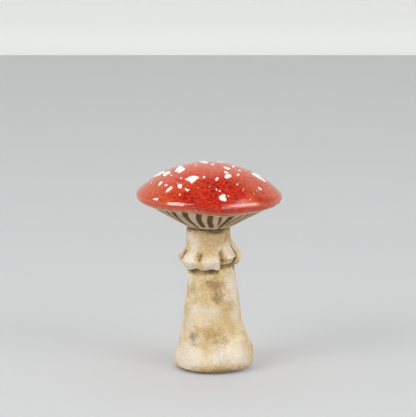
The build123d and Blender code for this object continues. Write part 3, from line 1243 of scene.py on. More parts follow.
@dataclass
class Stem:
    """The hollow stem with its flared, lopsided foot."""

    layout: Layout
    sides: int = 40
    hollow: tuple[Ring, ...] = (
        Ring(14, 0.6, 9.6, 9.6),
        Ring(8, 0.7, 10, 10),
        Ring(2, 0.7, 10.2, 10.2),
    )
    wall: tuple[Ring, ...] = (
        Ring(1.25, 0.6, 11.2, 11.2), Ring(1.3, 0.2, 13.6, 13.4), Ring(0.8, 0, 15.2, 15),
        Ring(0.7, 0.1, 16.1, 15.8), Ring(2, 0.4, 17.1, 16.9), Ring(3.6, 0.6, 17.4, 17.2),
        Ring(5.4, 0.75, 17.35, 17.2), Ring(7.4, 0.95, 16.9, 16.8), Ring(9.6, 1, 16.3, 16.2),
        Ring(12, 0.8, 15.55, 15.5), Ring(14.5, 0.55, 14.7, 14.6), Ring(17, 0.2, 13.85, 13.9),
        Ring(19.5, -0.15, 13.15, 13.3), Ring(22, -0.3, 12.7, 12.9), Ring(25, -0.2, 12.4, 12.5),
        Ring(28, -0.1, 12.1, 12.2), Ring(31, -0.15, 11.75, 11.8),
        Ring(34, -0.25, 11.35, 11.4), Ring(37, -0.45, 11, 11.1),
        Ring(40, -0.75, 10.7, 10.8), Ring(43, -1, 10.45, 10.6), Ring(46, -1.2, 10.25, 10.4),
        Ring(49, -1.45, 10.1, 10.2), Ring(52, -1.65, 9.95, 10), Ring(55, -1.85, 9.75, 9.8),
        Ring(58, -2.05, 9.6, 9.65), Ring(60.6, -2, 9.5, 9.5), Ring(61.9, -1.86, 9.45, 9.45),
    )  # fmt: skip
    tongue: tuple[Ring, ...] = (
        Ring(62.15, -1.86, 9.1, 9.1),
        Ring(62.2, -1.86, 6.4, 6.4),
        Ring(62.3, -1.86, 6, 6),
        Ring(64.7, -1.86, 6, 6),
    )
    presses: tuple[Press, ...] = (
        Press(-92, 38.5, 41, 0.75, 6), Press(-68, 29, 32, -0.30, 6.5), Press(-112, 24, 27, 0.40, 7),
        Press(-80, 19, 22, 0.55, 7.5), Press(-128, 15, 17, 0.50, 4.5), Press(-100, 11, 12, 0.45, 6),
        Press(-60, 12.5, 14.5, 0.40, 5.5), Press(-120, 5.5, 7, -0.45, 6.5),
        Press(-46, 6, 8, -0.50, 7), Press(-86, 4, 5, 0.30, 6),
        Press(-10, 20.8, 21.2, 0.25, 2.4, Falloff.CREASE),
        Press(2, 20.8, 21.2, 0.30, 3.2, Falloff.CREASE),
        Press(15, 20.6, 21, 0.25, 2.4, Falloff.CREASE), Press(8, 23.5, 25, -0.30, 4),
        Press(176, 30, 40, 0.25, 5), Press(150, 33, 36, 0.55, 7), Press(95, 27, 30, 0.70, 8),
        Press(60, 38, 40, 0.45, 6.5), Press(120, 17, 19, 0.60, 7), Press(70, 9, 11, -0.40, 7),
        Press(160, 7, 9, 0.35, 6), Press(30, 12, 14, 0.50, 6), Press(-92, 0.7, 1, 0, 9, lift=0.45),
        Press(-66, 0.7, 1, 0, 9, lift=0.5), Press(-10, 0.7, 1.4, 0.1, 10, lift=0.7),
        Press(-122, 38.5, 42, -0.35, 5), Press(-70, 40, 42.5, -0.3, 5), Press(-87, 33, 35, 0.35, 4),
    )  # fmt: skip
    hand: tuple[Marks, ...] = (Marks(2, 7.0, 0.28), Marks(5, 2.2, 0.09), Marks(9, 0.7, 0.035))
    outside: Band = Band(8.4, 9.2)
    above_pad: Band = Band(1.3, 2.6)
    below_shoulder: Band = Band(62.0, 61.0)
    hollow_radius: float = 11.0
    hollow_top: float = 14.5
    # Where the painted shadow under the skirt's hem lies: deepest at these angles, between these
    # heights about the hem.
    pockets: tuple[float, ...] = (-128, -86, -58, -36, 30, 95, 150)
    pocket_width: float = 9.0
    under_hem: Band = Band(-3.6, -0.4)
    behind_hem: Band = Band(2.5, 1.0)
    under_cap: Band = Band(59.0, 61.6)
    dark_side: float = -72.0
    dark_width: float = 26.0
    foot_edge: Band = Band(2.4, 0.7)
    crease_height: float = 21.0
    crease_depth: float = 0.9
    crease_middle: float = 4.0
    crease_width: float = 16.0
    finish: Finish = Stoneware("stoneware_stem", STEM_PATCHES, "wash")

    def build(self) -> Piece:
        """Coil the wall up, press it into shape and dress it.

        Returns:
            The dressed stem.
        """
        piece = Bench.coil("stem_clay", (*self.hollow, *self.wall, *self.tongue), self.sides)
        Bench.divide(piece, 2)
        Bench.press(piece, self.presses, self.layout.axis)
        Bench.divide(piece, 1)
        self._roughen(piece)
        self._darken(piece)
        Bench.finish(piece, self.finish.make())
        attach(piece, "root")
        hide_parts("stem")
        return piece

    def _roughen(self, piece: Piece) -> None:
        """Leave the marks of the hand on the outside alone."""
        points = Bench.points(piece) / MM
        height = points[:, 2]
        reach = radii(points[:, :2] - self.layout.axis(height))
        outside = self.outside.of(reach) * self.above_pad.of(height)
        outside *= self.below_shoulder.of(height)
        hollow = (reach < self.hollow_radius) & (height < self.hollow_top)
        Bench.group(piece, "outside", np.where(hollow, 0.0, outside))
        Bench.roughen(piece, self.hand, "outside")

    def _darken(self, piece: Piece) -> None:
        """Darken the stem: painted shadow under the skirt's hem, and darker under the cap, at the
        foot's lower edge and along the crease.
        """
        points = Bench.points(piece) / MM
        height = points[:, 2]
        angle = np.degrees(np.arctan2(points[:, 1], points[:, 0] + 1.5))
        hem = self.layout.hem_low + self.layout.lift(angle)
        pockets = [bell(angle_gap(angle, pocket), self.pocket_width) for pocket in self.pockets]
        # Painted shadow under the skirt's hem, deepest in the pockets where the lobes stand off.
        under_skirt = self.under_hem.of(height - hem) * self.behind_hem.of(height - hem)
        under_skirt *= 0.85 + 0.3 * np.maximum.reduce(pockets)
        dark_neck = 0.55 + 0.5 * bell(angle_gap(angle, self.dark_side), self.dark_width)
        under_cap = dark_neck * self.under_cap.of(height)
        foot = 1.05 * self.foot_edge.of(height)
        crease = 0.4 * bell(height - self.crease_height, self.crease_depth)
        crease *= bell(angle_gap(angle, self.crease_middle), self.crease_width)
        Bench.mark(piece, "wash", np.maximum.reduce([under_skirt, under_cap, foot, crease]))


@dataclass
class NeckSlip:
    """The dark slip squeezed out where the cap sits on the stem."""

    layout: Layout
    radius: float = 9.15
    inner: float = 6.1
    height: float = 0.56
    bulge: float = 0.35
    steps: int = 160
    hand: tuple[Marks, ...] = (Marks(4, 2.4, 0.2), Marks(12, 0.7, 0.08))
    finish: Finish = DarkSlip()

    def build(self) -> Piece:
        """Turn the bead and make it ragged.

        Returns:
            The dressed bead.
        """
        profile = [(self.inner, 0.0), (self.radius - 0.2, 0.0)]
        profile += arc((self.radius - 0.1, self.height / 2), self.bulge, -70, 70, 8)
        profile += [(self.radius - 0.2, self.height), (self.inner, self.height), (self.inner, 0.0)]
        piece = Bench.throw("neck_slip_bead", profile, self.steps)
        Bench.roughen(piece, self.hand)
        place = self.layout.cap_place() @ Matrix.Translation((0, 0, -self.height * MM))
        Bench.seat(piece, place)
        Bench.finish(piece, self.finish.make(), 60)
        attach(piece, "root")
        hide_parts("neck_slip")
        return piece


@dataclass
class Skirt:
    """The strip of clay draped round the stem in folds, with its ends lapped."""

    layout: Layout
    steps: int = 400
    profile: tuple[Place, ...] = (
        (56.6, 9.55), (55.6, 9.9), (54.4, 10.35), (53.2, 10.95), (52.0, 11.7), (50.8, 12.5),
        (49.6, 13.1), (48.4, 13.4), (47.2, 13.35), (46.0, 13.05), (44.9, 12.6), (44.0, 12.15),
        (43.4, 11.8), (43.1, 11.4), (43.3, 10.9), (44.2, 10.2), (46.0, 9.6), (50.0, 9.3),
        (55.0, 9.0),
    )  # fmt: skip
    presses: tuple[Press, ...] = (
        Press(-142, 47, 49.5, -0.9, 4.2), Press(-93, 47, 49, -0.7, 3.6),
        Press(-50, 49, 50.5, -0.7, 4), Press(-6, 47.5, 50.5, -0.7, 4.2),
        Press(-179, 46, 48, -0.8, 3.6), Press(-179, 51, 53.6, 0.7, 3.4),
        Press(-163, 46, 51, 1.3, 3, Falloff.CREASE, slant=4),
        Press(-163, 46, 52.4, 0.8, 1.7, Falloff.DEEP_CREASE, slant=6),
        Press(-112, 48.5, 51.5, 0.9, 3.4, Falloff.CREASE, slant=3),
        Press(-113, 50, 52, 0.9, 2.2, Falloff.SOFT, slant=3), Press(-112, 45, 46, 0.35, 3),
        Press(-68, 47, 53, 1, 2.8, Falloff.CREASE),
        Press(-62, 48.8, 52.4, 1.4, 2.4, Falloff.CREASE),
        Press(-20, 47, 54.5, 1.3, 3.2, Falloff.CREASE),
        Press(-20, 46.5, 55.4, 1.2, 1.4, Falloff.DEEP_CREASE, slant=-2),
        Press(14, 43, 51, 1.6, 4.4, Falloff.CREASE),
        Press(49, 43, 50.5, 1.9, 5, Falloff.CREASE, slant=6),
        Press(87, 43, 50, 1.7, 5, Falloff.CREASE),
        Press(128, 43, 51, 2, 5, Falloff.CREASE, slant=-6),
        Press(158, 43, 50, 1.6, 4.6, Falloff.CREASE), Press(-86, 44.5, 45.5, 0, 3.2, lift=0.5),
        Press(-122, 44, 45, 0, 3, lift=0.6), Press(-78, 44.5, 45.5, -0.3, 1.8, lift=-0.3),
    )  # fmt: skip
    bent: Band = Band(56.6, 54.0)
    drawn: Band = Band(50.5, 45.0)
    tucked: Band = Band(52.0, 48.5)
    outer_face: Band = Band(10.4, 11.2)
    step_in: float = 0.9
    clear_of_stem: float = 9.9
    # Painted shadow on the hem's underside, inside the skirt and along the seam; oxide and painted
    # shade in the far crease.
    hem_shade: Band = Band(43.7, 43.0)
    inner_face: Band = Band(10.8, 10.2)
    inner_shade: Band = Band(50.0, 47.0)
    seam_shade: Band = Band(53.5, 51.0)
    far_fold: float = -163.5
    far_fold_top: Band = Band(53.5, 51.5)
    far_fold_foot: Band = Band(45.5, 47.0)
    cut: float = 0.33
    hand: tuple[Marks, ...] = (Marks(6, 3.0, 0.14), Marks(8, 0.8, 0.045))
    finish: Finish = Stoneware("stoneware_skirt", SKIRT_PATCHES, "wash")

    def build(self) -> Piece:
        """Turn the strip's section, press its folds and lap its ends.

        Returns:
            The dressed skirt.
        """
        fine = self._refined()
        piece = Bench.throw("skirt_clay", fine, self.steps)
        flat = Bench.points(piece)
        self._drape(piece)
        base = Bench.points(piece)
        Bench.press(piece, self.presses, self.layout.axis)
        self._darken(piece, flat, base)
        Bench.modify(piece, "SMOOTH", factor=0.5, iterations=1)
        Bench.roughen(piece, self.hand)
        Bench.finish(piece, self.finish.make(), 70)
        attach(piece, "root")
        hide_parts("skirt")
        return piece

    def _refined(self) -> list[Place]:
        """The section as radius and height, in finer steps and closed."""
        loop = [(radius, height) for height, radius in self.profile]
        loop.append(loop[0])
        fine = [loop[0]]
        for start, end in zip(loop, loop[1:]):
            length = math.hypot(end[0] - start[0], end[1] - start[1])
            fine += run(start, end, max(1, round(length / self.cut)))
        return fine

    def _drape(self, piece: Piece) -> None:
        """Draw the hem up and down round the stem, and tuck one end under the other."""
        points = Bench.points(piece) / MM
        angles = turns(points)
        reaches = radii(points)
        whole = (0.3 + 0.8 * np.cos(np.radians(angles))) * self.bent.of(points[:, 2])
        hem = self.layout.lift(angles) - whole
        heights = points[:, 2] + whole + hem * self.drawn.of(points[:, 2])
        share = self.layout.lapped(angles) * self.tucked.of(heights) * self.outer_face.of(reaches)
        inner = np.maximum(reaches - self.step_in * share, self.clear_of_stem)
        points[:, :2] *= np.where(share > 0, inner / reaches, 1.0)[:, None]
        points[:, :2] += self.layout.axis(heights)
        points[:, 2] = heights
        Bench.place_points(piece, points * MM)

    def _darken(self, piece: Piece, flat: np.ndarray, base: np.ndarray) -> None:
        """Darken the folds, the seam, the far crease, the hem's underside and the inside: oxide and
        painted shade in the folds and the crease, painted shadow along the seam, under the hem and
        inside.

        Args:
            piece: The skirt as it is pressed.
            flat: Its points as they left the wheel.
            base: Its points before it was pressed.
        """
        points = Bench.points(piece) / MM
        heights = points[:, 2]
        off = points[:, :2] - self.layout.axis(heights)
        was = base[:, :2] / MM - self.layout.axis(base[:, 2] / MM)
        angles = turns(off)
        sunk = radii(was) - radii(off)
        # Folds: oxide and painted shade where the clay was pressed in.
        folds = smooth_step(0.5, 2.0, sunk)
        # Painted shadow along the step of the lapped seam.
        beside = bell(angle_gap(angles, self.layout.seam + 1.2), 2.2)
        beside *= self.seam_shade.of(heights)
        # Far crease: oxide and painted shade.
        behind = 1.1 * bell(angle_gap(angles, self.far_fold), 3.6)
        behind *= self.far_fold_top.of(heights) * self.far_fold_foot.of(heights)
        # Painted shadow on the hem's underside and inside the skirt.
        level = flat[:, 2] / MM
        hem = self.hem_shade.of(level) * 0.75
        inside = self.inner_face.of(radii(flat) / MM) * self.inner_shade.of(level)
        wash = np.maximum.reduce([folds, 0.85 * beside, behind, hem, inside])
        Bench.mark(piece, "wash", np.clip(wash, 0, 1))


@dataclass(frozen=True)
class Groove:
    """One cut of the gill tool.

    Attributes:
        outer: Its outer end's angle, in degrees to the right of the front.
        middle: Its middle's angle.
        inner: Its inner end's angle.
        reach: Its outer end's radius from the cap's axis.
        start: Its inner end's radius.
        wide: Half its width at the outer end.
        narrow: Half its width at the inner end.
    """

    outer: float
    middle: float
    inner: float
    reach: float
    start: float = 10.9
    wide: float = 1.2
    narrow: float = 0.6


@dataclass
class GillDish:
    """The cone under the cap, carved with gills by hand."""

    layout: Layout
    lip_radius: float = 27.7
    even_radius: float = 20.0
    seat_height: float = 11.8
    recess_radius: float = 16.5
    recess_height: float = 7.0
    socket_radius: float = 6.2
    steps: int = 240
    front: tuple[Groove, ...] = (
        Groove(-53.5, -58, -57, 26.2, 11.6, 0.95, 0.65),
        Groove(-44.5, -50, -48, 26.4, 13.2, 1, 0.6),
        Groove(-34.5, -43.5, -48, 26.7, 11.4, 1.2, 0.7),
        Groove(-22, -27.5, -23, 27.7, 10.9, 1.65, 0.7),
        Groove(-8.5, -12.8, -9.5, 27.1, 12.2, 1.45, 1.25),
        Groove(2.2, 0.6, 6.5, 26.1, 12, 1.45, 1.25),
        Groove(11.9, 13.5, 16, 25, 15, 0.95, 0.6),
        Groove(23, 24.5, 22.6, 25.2, 10.9, 1.65, 0.75),
        Groove(35, 32.5, 32, 25.2, 13.6, 0.95, 0.65),
        Groove(43.4, 43.8, 42, 25.1, 13.2, 1, 0.65),
        Groove(52, 52.5, 51, 25.8, 12, 1.15, 0.7),
    )
    spacing: float = 12.0
    bite: float = 0.35
    voxel: float = 0.3
    finish: Finish = GillClay()

    def build(self) -> Piece:
        """Turn the dish, carve the gills and dress it.

        Returns:
            The dressed dish.
        """
        neck = (self.layout.gill_neck, 0.0)
        lip = (self.lip_radius, self.layout.gill_slope * (self.lip_radius - self.layout.gill_neck))
        profile = [(self.socket_radius, 0.0), neck, *run(neck, lip, 34)]
        profile += [
            (self.lip_radius, self.seat_height),
            (self.recess_radius, self.seat_height),
            (self.recess_radius, self.recess_height),
            (self.socket_radius, self.recess_height),
            profile[0],
        ]
        piece = Bench.throw("gill_dish_clay", profile, self.steps)
        self._follow_glaze(piece)
        tool = Bench.join([self._carved(groove) for groove in self._grooves()], "gill_tool")
        cut = {"operation": "DIFFERENCE", "object": tool, "solver": "EXACT", "use_self": True}
        Bench.modify(piece, "BOOLEAN", **cut)
        bpy.data.objects.remove(tool)
        Bench.modify(piece, "REMESH", mode="VOXEL", voxel_size=self.voxel * MM)
        Bench.modify(piece, "SMOOTH", factor=0.5, iterations=2)
        self._grooved(piece)
        Bench.place_points(piece, self.layout.waved(Bench.points(piece) / MM) * MM)
        Bench.seat(piece, self.layout.cap_place())
        Bench.finish(piece, self.finish.make())
        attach(piece, "root")
        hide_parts("gill_dish")
        return piece

    def _follow_glaze(self, piece: Piece) -> None:
        """Draw the dish's lip in and out along its cone, to follow the glaze's edge."""
        points = Bench.points(piece) / MM
        reach = radii(points)
        share = (self.layout.lip(points) - self.even_radius) / (self.lip_radius - self.even_radius)
        beyond = reach - self.even_radius
        now = np.where(beyond > 0, self.even_radius + beyond * share, reach)
        under = points[:, 2] < self.layout.cone(reach) + 0.05
        points[:, 2] = np.where(under, self.layout.cone(now), points[:, 2])
        points[:, :2] *= (now / reach)[:, None]
        Bench.place_points(piece, points * MM)

    def _grooves(self) -> list[Groove]:
        """The grooves round the dish, with those at the front as the hand cut them."""
        dice = random.Random(31)
        grooves = list(self.front)
        here = self.front[-1].outer + self.spacing
        while here < 360 + self.front[0].outer - self.spacing * 0.6:
            outer = here + dice.uniform(-1.6, 1.6)
            middle, inner = (outer + dice.uniform(-3.0, 3.0) for _ in range(2))
            reach, start = dice.uniform(26.0, 27.2), dice.uniform(10.8, 12.4)
            wide, narrow = dice.uniform(1.1, 1.5), dice.uniform(0.6, 1.0)
            grooves.append(Groove(outer, middle, inner, reach, start, wide, narrow))
            here += self.spacing
        return grooves

    def _carved(self, groove: Groove) -> Piece:
        """Make the tool's path for one groove.

        Args:
            groove: The groove.

        Returns:
            The path as a closed tapered form.
        """
        Bench.clear()
        bpy.ops.curve.primitive_nurbs_path_add()
        path = bpy.context.active_object
        path.data.splines[0].use_endpoint_u = True
        path.data.bevel_depth = MM
        path.data.bevel_resolution = 4
        path.data.use_fill_caps = True
        path.data.resolution_u = 6
        for index, point in enumerate(path.data.splines[0].points):
            share = index / (len(path.data.splines[0].points) - 1)
            angle = groove.inner * 2 * (share - 0.5) * (share - 1)
            angle += groove.middle * 4 * share * (1 - share)
            turn = math.radians(angle + groove.outer * 2 * share * (share - 0.5) - 90.0)
            reach = groove.start + (groove.reach - groove.start) * share
            width = groove.narrow + (groove.wide - groove.narrow) * share**0.8
            height = (reach - self.layout.gill_neck) * self.layout.gill_slope - width * self.bite
            point.co = (reach * math.cos(turn) * MM, reach * math.sin(turn) * MM, height * MM, 1.0)
            point.radius = width
        bpy.ops.object.convert(target="MESH")
        return bpy.context.active_object

    def _grooved(self, piece: Piece) -> None:
        """Weigh how deep each point lies under the cone, with painted shade added towards the neck.
        """
        points = Bench.points(piece) / MM
        reach = radii(points)
        below = points[:, 2] - self.layout.cone(reach)
        below *= math.cos(math.atan(self.layout.gill_slope))
        outer = points[:, 2] < self.layout.cone(self.layout.lip(points)) + 0.3
        # Painted shade where the dish meets the neck, kept in the groove weight.
        hub = 0.6 * smooth_step(self.layout.gill_neck + 0.9, self.layout.gill_neck + 0.1, reach)
        depth = smooth_step(0.04, 0.3, below) * (0.75 + 0.25 * smooth_step(0.3, 0.9, below))
        Bench.mark(piece, "groove", np.where(outer, np.maximum(depth, hub), 0.0))


@dataclass
class Cap:
    """The domed cap with its red glaze."""

    layout: Layout
    rim_height: float = 13.0
    rim_radius: float = 31.12
    rim_round: float = 2.8
    rise: float = 14.15
    lip_radius: float = 27.8
    lip_height: float = 10.04
    ledge: float = 11.8
    hollow_radius: float = 18.0
    hollow_height: float = 19.0
    steps: int = 320
    glaze_thickness: float = 0.16
    edge_waves: tuple[Point, ...] = ((0.22, 17, 0), (0.12, 41, 30))
    rim_hand: tuple[Marks, ...] = (Marks(7, 5.5, 0.22), Marks(11, 2.2, 0.05))
    crown_hand: tuple[Marks, ...] = (Marks(1, 11.0, 0.14),)
    finish: Finish = RedGlaze()

    def crown(self) -> tuple[float, float, float]:
        """The crown's arc.

        Returns:
            Its radius, the height of its middle and the slope where it meets the rim, in degrees.
        """
        middle = self.rim_radius - self.rim_round
        radius = (self.rise**2 + middle**2 - self.rim_round**2) / (2 * (self.rise - self.rim_round))
        slope = math.degrees(math.asin(middle / (radius - self.rim_round)))
        return radius, self.rim_height + self.rise - radius, slope

    def build(self) -> Piece:
        """Turn the cap, let its glaze run and dress it.

        Returns:
            The dressed cap.
        """
        radius, low, slope = self.crown()
        rim_middle = (self.rim_radius - self.rim_round, self.rim_height)
        across, up = self.lip_radius - rim_middle[0], self.lip_height - rim_middle[1]
        tuck = math.degrees(math.atan2(up, across))
        tuck += math.degrees(math.acos(self.rim_round / math.hypot(across, up)))
        profile = arc((0, low), radius, 90, 90 - slope, 78)
        rim = arc(rim_middle, self.rim_round, 90 - slope, tuck, 26)
        profile += rim[1:]
        for corner, steps in (
            ((self.lip_radius, self.lip_height), 14),
            ((self.lip_radius, self.ledge), 3),
            ((self.hollow_radius, self.ledge), 4),
            ((self.hollow_radius, self.hollow_height), 4),
            ((0, self.hollow_height), 6),
        ):
            profile += run(profile[-1], corner, steps)
        piece = Bench.throw("cap_glazed", profile, self.steps)
        self._follow_gills(piece, rim[-1])
        self._glaze(piece)
        Bench.place_points(piece, self.layout.waved(Bench.points(piece) / MM) * MM)
        Bench.seat(piece, self.layout.cap_place())
        Bench.finish(piece, self.finish.make())
        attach(piece, "root")
        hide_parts("cap_shell")
        return piece

    def _follow_gills(self, piece: Piece, tuck: Place) -> None:
        """Draw the seat of the gill dish in and out, so that it fits the dish's lip.

        Args:
            piece: The cap as it left the wheel.
            tuck: Radius and height at which the rim's round ends.
        """
        points = Bench.points(piece) / MM
        reach = radii(points).clip(0.001)
        heights = points[:, 2].copy()
        lip = self.layout.lip(points) + 0.1
        foot = self.layout.cone(lip)
        share = (tuck[0] - reach) / (tuck[0] - self.lip_radius)
        wall = np.abs(reach - self.lip_radius) < 0.01
        ledge = (np.abs(heights - self.ledge) < 0.01) & (reach < self.lip_radius + 0.01)
        under = (share > -0.001) & (share < 1.001) & (heights < tuck[1] + 0.01) & ~ledge
        up = (heights - self.lip_height) / (self.ledge - self.lip_height)
        now = np.where(under, tuck[0] + (lip - tuck[0]) * share, reach)
        wide = self.lip_radius - self.hollow_radius
        seat = self.hollow_radius + (reach - self.hollow_radius) * (lip - self.hollow_radius) / wide
        now = np.where(ledge, seat, np.where(wall, lip, now))
        points[:, 2] = np.where(under, tuck[1] + (foot - tuck[1]) * share, heights)
        points[:, 2] = np.where(wall & ~ledge, foot + (self.ledge - foot) * up, points[:, 2])
        points[:, :2] *= (now / reach)[:, None]
        Bench.place_points(piece, points * MM)

    def _glaze(self, piece: Piece) -> None:
        """Dip the cap, with the glaze ending in a wavy roll under the rim."""
        points = Bench.points(piece) / MM
        heights, reach, angle = points[:, 2], radii(points), from_front(points)
        lip = self.layout.lip(points) + 0.1
        edge = lip + self.layout.bare_band - 0.1
        for height, waves, start in self.edge_waves:
            edge += height * np.sin(np.radians(angle * waves + start))
        under = heights < self.rim_height - 1.0
        inside = (reach < self.hollow_radius + 0.1) & (heights < self.hollow_height + 0.1)
        hidden = inside | (heights < self.ledge + 0.1) & (reach < lip + 0.05)
        cover = np.where(under, smooth_step(-0.22, 0.22, reach - edge), 1.0)
        Bench.mark(piece, "glazed", np.where(hidden, 0.0, cover))
        roll = np.where(under, bell(reach - edge - 0.5, 0.45), 0.0) * 0.6
        Bench.group(piece, "thick", np.clip(np.where(hidden, 0.0, cover * 0.4 + roll), 0, 1))
        depth = self.glaze_thickness * MM
        Bench.modify(piece, "DISPLACE", strength=depth, mid_level=0.0, vertex_group="thick")
        sides = 0.2 + 0.4 * np.abs(np.sin(np.radians(angle)))
        broken = (0.3 + 0.35 * bell(angle + 20, 24)) * smooth_step(12.8, 11.0, heights)
        thin = sides * bell(heights - self.rim_height - 0.4, 1.2) * smooth_step(29.5, 31.0, reach)
        thin += broken * smooth_step(28.0, 29.0, reach)
        thin += 0.6 * np.where(under, bell(reach - edge - 0.15, 0.35), 0.0)
        Bench.mark(piece, "thin", np.where(hidden, 0.0, thin))
        # Deeper red where the glaze pools towards the rim, deepest at the front; the paler top and
        # sides are painted sheen.
        front = bell(angle - 4.0, 38.0)
        front *= smooth_step(10.8, 13.6, heights + 0.02 * angle.clip(0, 60))
        Bench.mark(piece, "pool", smooth_step(9.0, 23.0, reach) * (0.15 + 0.85 * front))
        rim = bell(heights - self.rim_height + 0.5, 2.2) * smooth_step(27.0, 29.0, reach)
        Bench.group(piece, "rim", np.where(hidden, 0.0, rim))
        Bench.roughen(piece, self.rim_hand, "rim")
        Bench.group(piece, "crown", np.where(hidden | under, 0.0, 1.0))
        Bench.roughen(piece, self.crown_hand, "crown")


@dataclass(frozen=True)
class Dab:
    """A raised dab of white glaze.

    Attributes:
        tip: How far down the cap its middle lies, in degrees from the top; past the
            crown's own slope it lies on the rim's round.
        place: Its angle round the cap, in degrees.
        outline: Its outline about its middle, down the cap and round it.
        thick: How far it stands up.
    """

    tip: float
    place: float
    outline: tuple[Place, ...]
    thick: float = 0.5

    def again(self, tip: float, place: float, turn: float, scale: float = 1.0) -> "Dab":
        """The same dab at another place.

        Args:
            tip: How far down the cap it lies.
            place: Its angle round the cap.
            turn: How far its outline is turned, in degrees.
            scale: How much larger it is.

        Returns:
            The other dab.
        """
        cosine, sine = math.cos(math.radians(turn)) * scale, math.sin(math.radians(turn)) * scale
        outline = tuple((x * cosine - y * sine, x * sine + y * cosine) for x, y in self.outline)
        return Dab(tip, place, outline, self.thick)

    def torn(self, seed: int) -> tuple[Place, ...]:
        """Its outline with a ragged point between each two.

        Args:
            seed: The seed of the raggedness.

        Returns:
            The outline's points.
        """
        dice = random.Random(seed)
        jag = JAG * self.size()
        ragged = []
        for (ax, ay), (bx, by) in zip(self.outline, self.outline[1:] + self.outline[:1]):
            across = (ax + bx) / 2 + dice.uniform(-jag, jag)
            ragged += [(ax, ay), (across, (ay + by) / 2 + dice.uniform(-jag, jag))]
        return tuple(ragged)

    def size(self) -> float:
        """The root of the dab's area."""
        pairs = zip(self.outline, self.outline[1:] + self.outline[:1])
        return math.sqrt(abs(sum(ax * by - bx * ay for (ax, ay), (bx, by) in pairs)) / 2)


NOTCHED = Dab(18.0, -159, (
    (2.2, 1.9), (2.3, 3.5), (2.0, 4.3), (0.8, 3.8), (-0.5, 3.5), (-1.5, 2.5), (-1.8, 0.7),
    (-1.7, -0.8), (-2.4, -3.2), (-2.4, -4.4), (-1.5, -4.4), (0.1, -3.4), (1.7, -0.6), (2.7, 0.8),
))  # fmt: skip
LEAF = Dab(25.7, -165, (
    (1.7, 1.7), (1.2, 1.9), (0.3, 1.2), (-0.8, 1.6), (-1.8, 1.1), (-2.0, -0.7), (-1.0, -1.9),
    (0.0, -2.7), (0.9, -2.1), (1.6, -0.2),
))  # fmt: skip
WEDGE = Dab(25.6, -113, (
    (0.8, -2.2), (0.9, -1.2), (1.4, -0.5), (2.2, 0.1), (2.7, 0.6), (2.4, 1.0), (1.3, 1.5),
    (0.0, 1.8), (-0.8, 2.2), (-1.8, 2.6), (-2.5, 2.0), (-2.7, 0.5), (-2.4, -0.9), (-1.7, -1.9),
    (-0.4, -2.4), (0.5, -3.2),
))  # fmt: skip
SPLASH = Dab(28.6, -5, (
    (-2.2, -2.0), (-1.3, -1.9), (-0.4, -2.6), (0.7, -2.2), (1.8, -2.0), (2.9, -2.2), (3.8, -1.9),
    (3.4, -0.8), (2.3, 0.6), (1.5, 1.6), (0.5, 2.4), (-0.5, 2.8), (-1.4, 2.6), (-2.1, 1.8),
    (-2.8, 0.4), (-3.3, -1.3),
))  # fmt: skip
ROUND = Dab(22.2, -62, (
    (0.8, -1.9), (1.5, -1.3), (1.4, -0.2), (0.8, 1.0), (-0.1, 1.9), (-1.2, 1.9), (-1.5, 0.7),
    (-1.2, -0.6), (-0.4, -1.5),
))  # fmt: skip
BITTEN = Dab(39.8, -78, (
    (0.5, -1.7), (1.1, -1.4), (1.4, -0.7), (1.7, 0.2), (1.6, 0.9), (1.2, 1.4), (0.8, 1.2),
    (0.1, 0.7), (-0.6, 0.8), (-1.1, 1.4), (-1.8, 1.1), (-2.0, 0.2), (-1.7, -0.8), (-0.9, -1.6),
    (0.0, -1.8),
))  # fmt: skip
SLIVER = Dab(36.1, -131, (
    (1.6, 0.1), (0.8, 0.5), (-0.1, 0.9), (-1.1, 1.0), (-2.0, 0.4), (-1.7, -0.2), (-0.9, -0.6),
    (0.2, -0.8), (1.2, -0.9), (2.0, -0.4),
))  # fmt: skip
SQUARE = Dab(32.4, -122, (
    (0.1, -1.1), (1.1, -0.4), (1.3, 0.6), (0.9, 1.3), (0.0, 1.1), (-1.2, 0.5), (-1.3, -0.6),
    (-0.9, -1.4),
))  # fmt: skip
STREAK = Dab(13.4, -44, (
    (-0.7, -0.9), (0.2, -0.9), (1.2, -0.9), (1.4, -0.1), (1.1, 1.0), (0.2, 1.3), (-0.6, 0.9),
    (-1.3, 0.2), (-1.6, -0.6),
))  # fmt: skip
DROP = Dab(24.4, -80, (
    (1.1, -0.7), (1.2, -0.2), (0.4, 0.5), (-0.8, 0.9), (-1.3, 0.6), (-0.8, -0.3), (0.2, -0.9),
))  # fmt: skip
HOOK = Dab(34.5, -112, (
    (-0.1, -1.0), (0.6, -0.4), (1.0, 0.3), (0.6, 0.7), (0.1, 1.2), (-0.3, 0.9), (-0.3, 0.2),
    (-0.7, -0.6), (-0.9, -1.3),
), 0.4)  # fmt: skip
PEA = Dab(22.6, -98, (
    (0.35, -0.4), (0.8, 0.0), (0.5, 0.5), (-0.4, 0.55), (-0.8, -0.1), (-0.4, -0.5),
), 0.35)  # fmt: skip


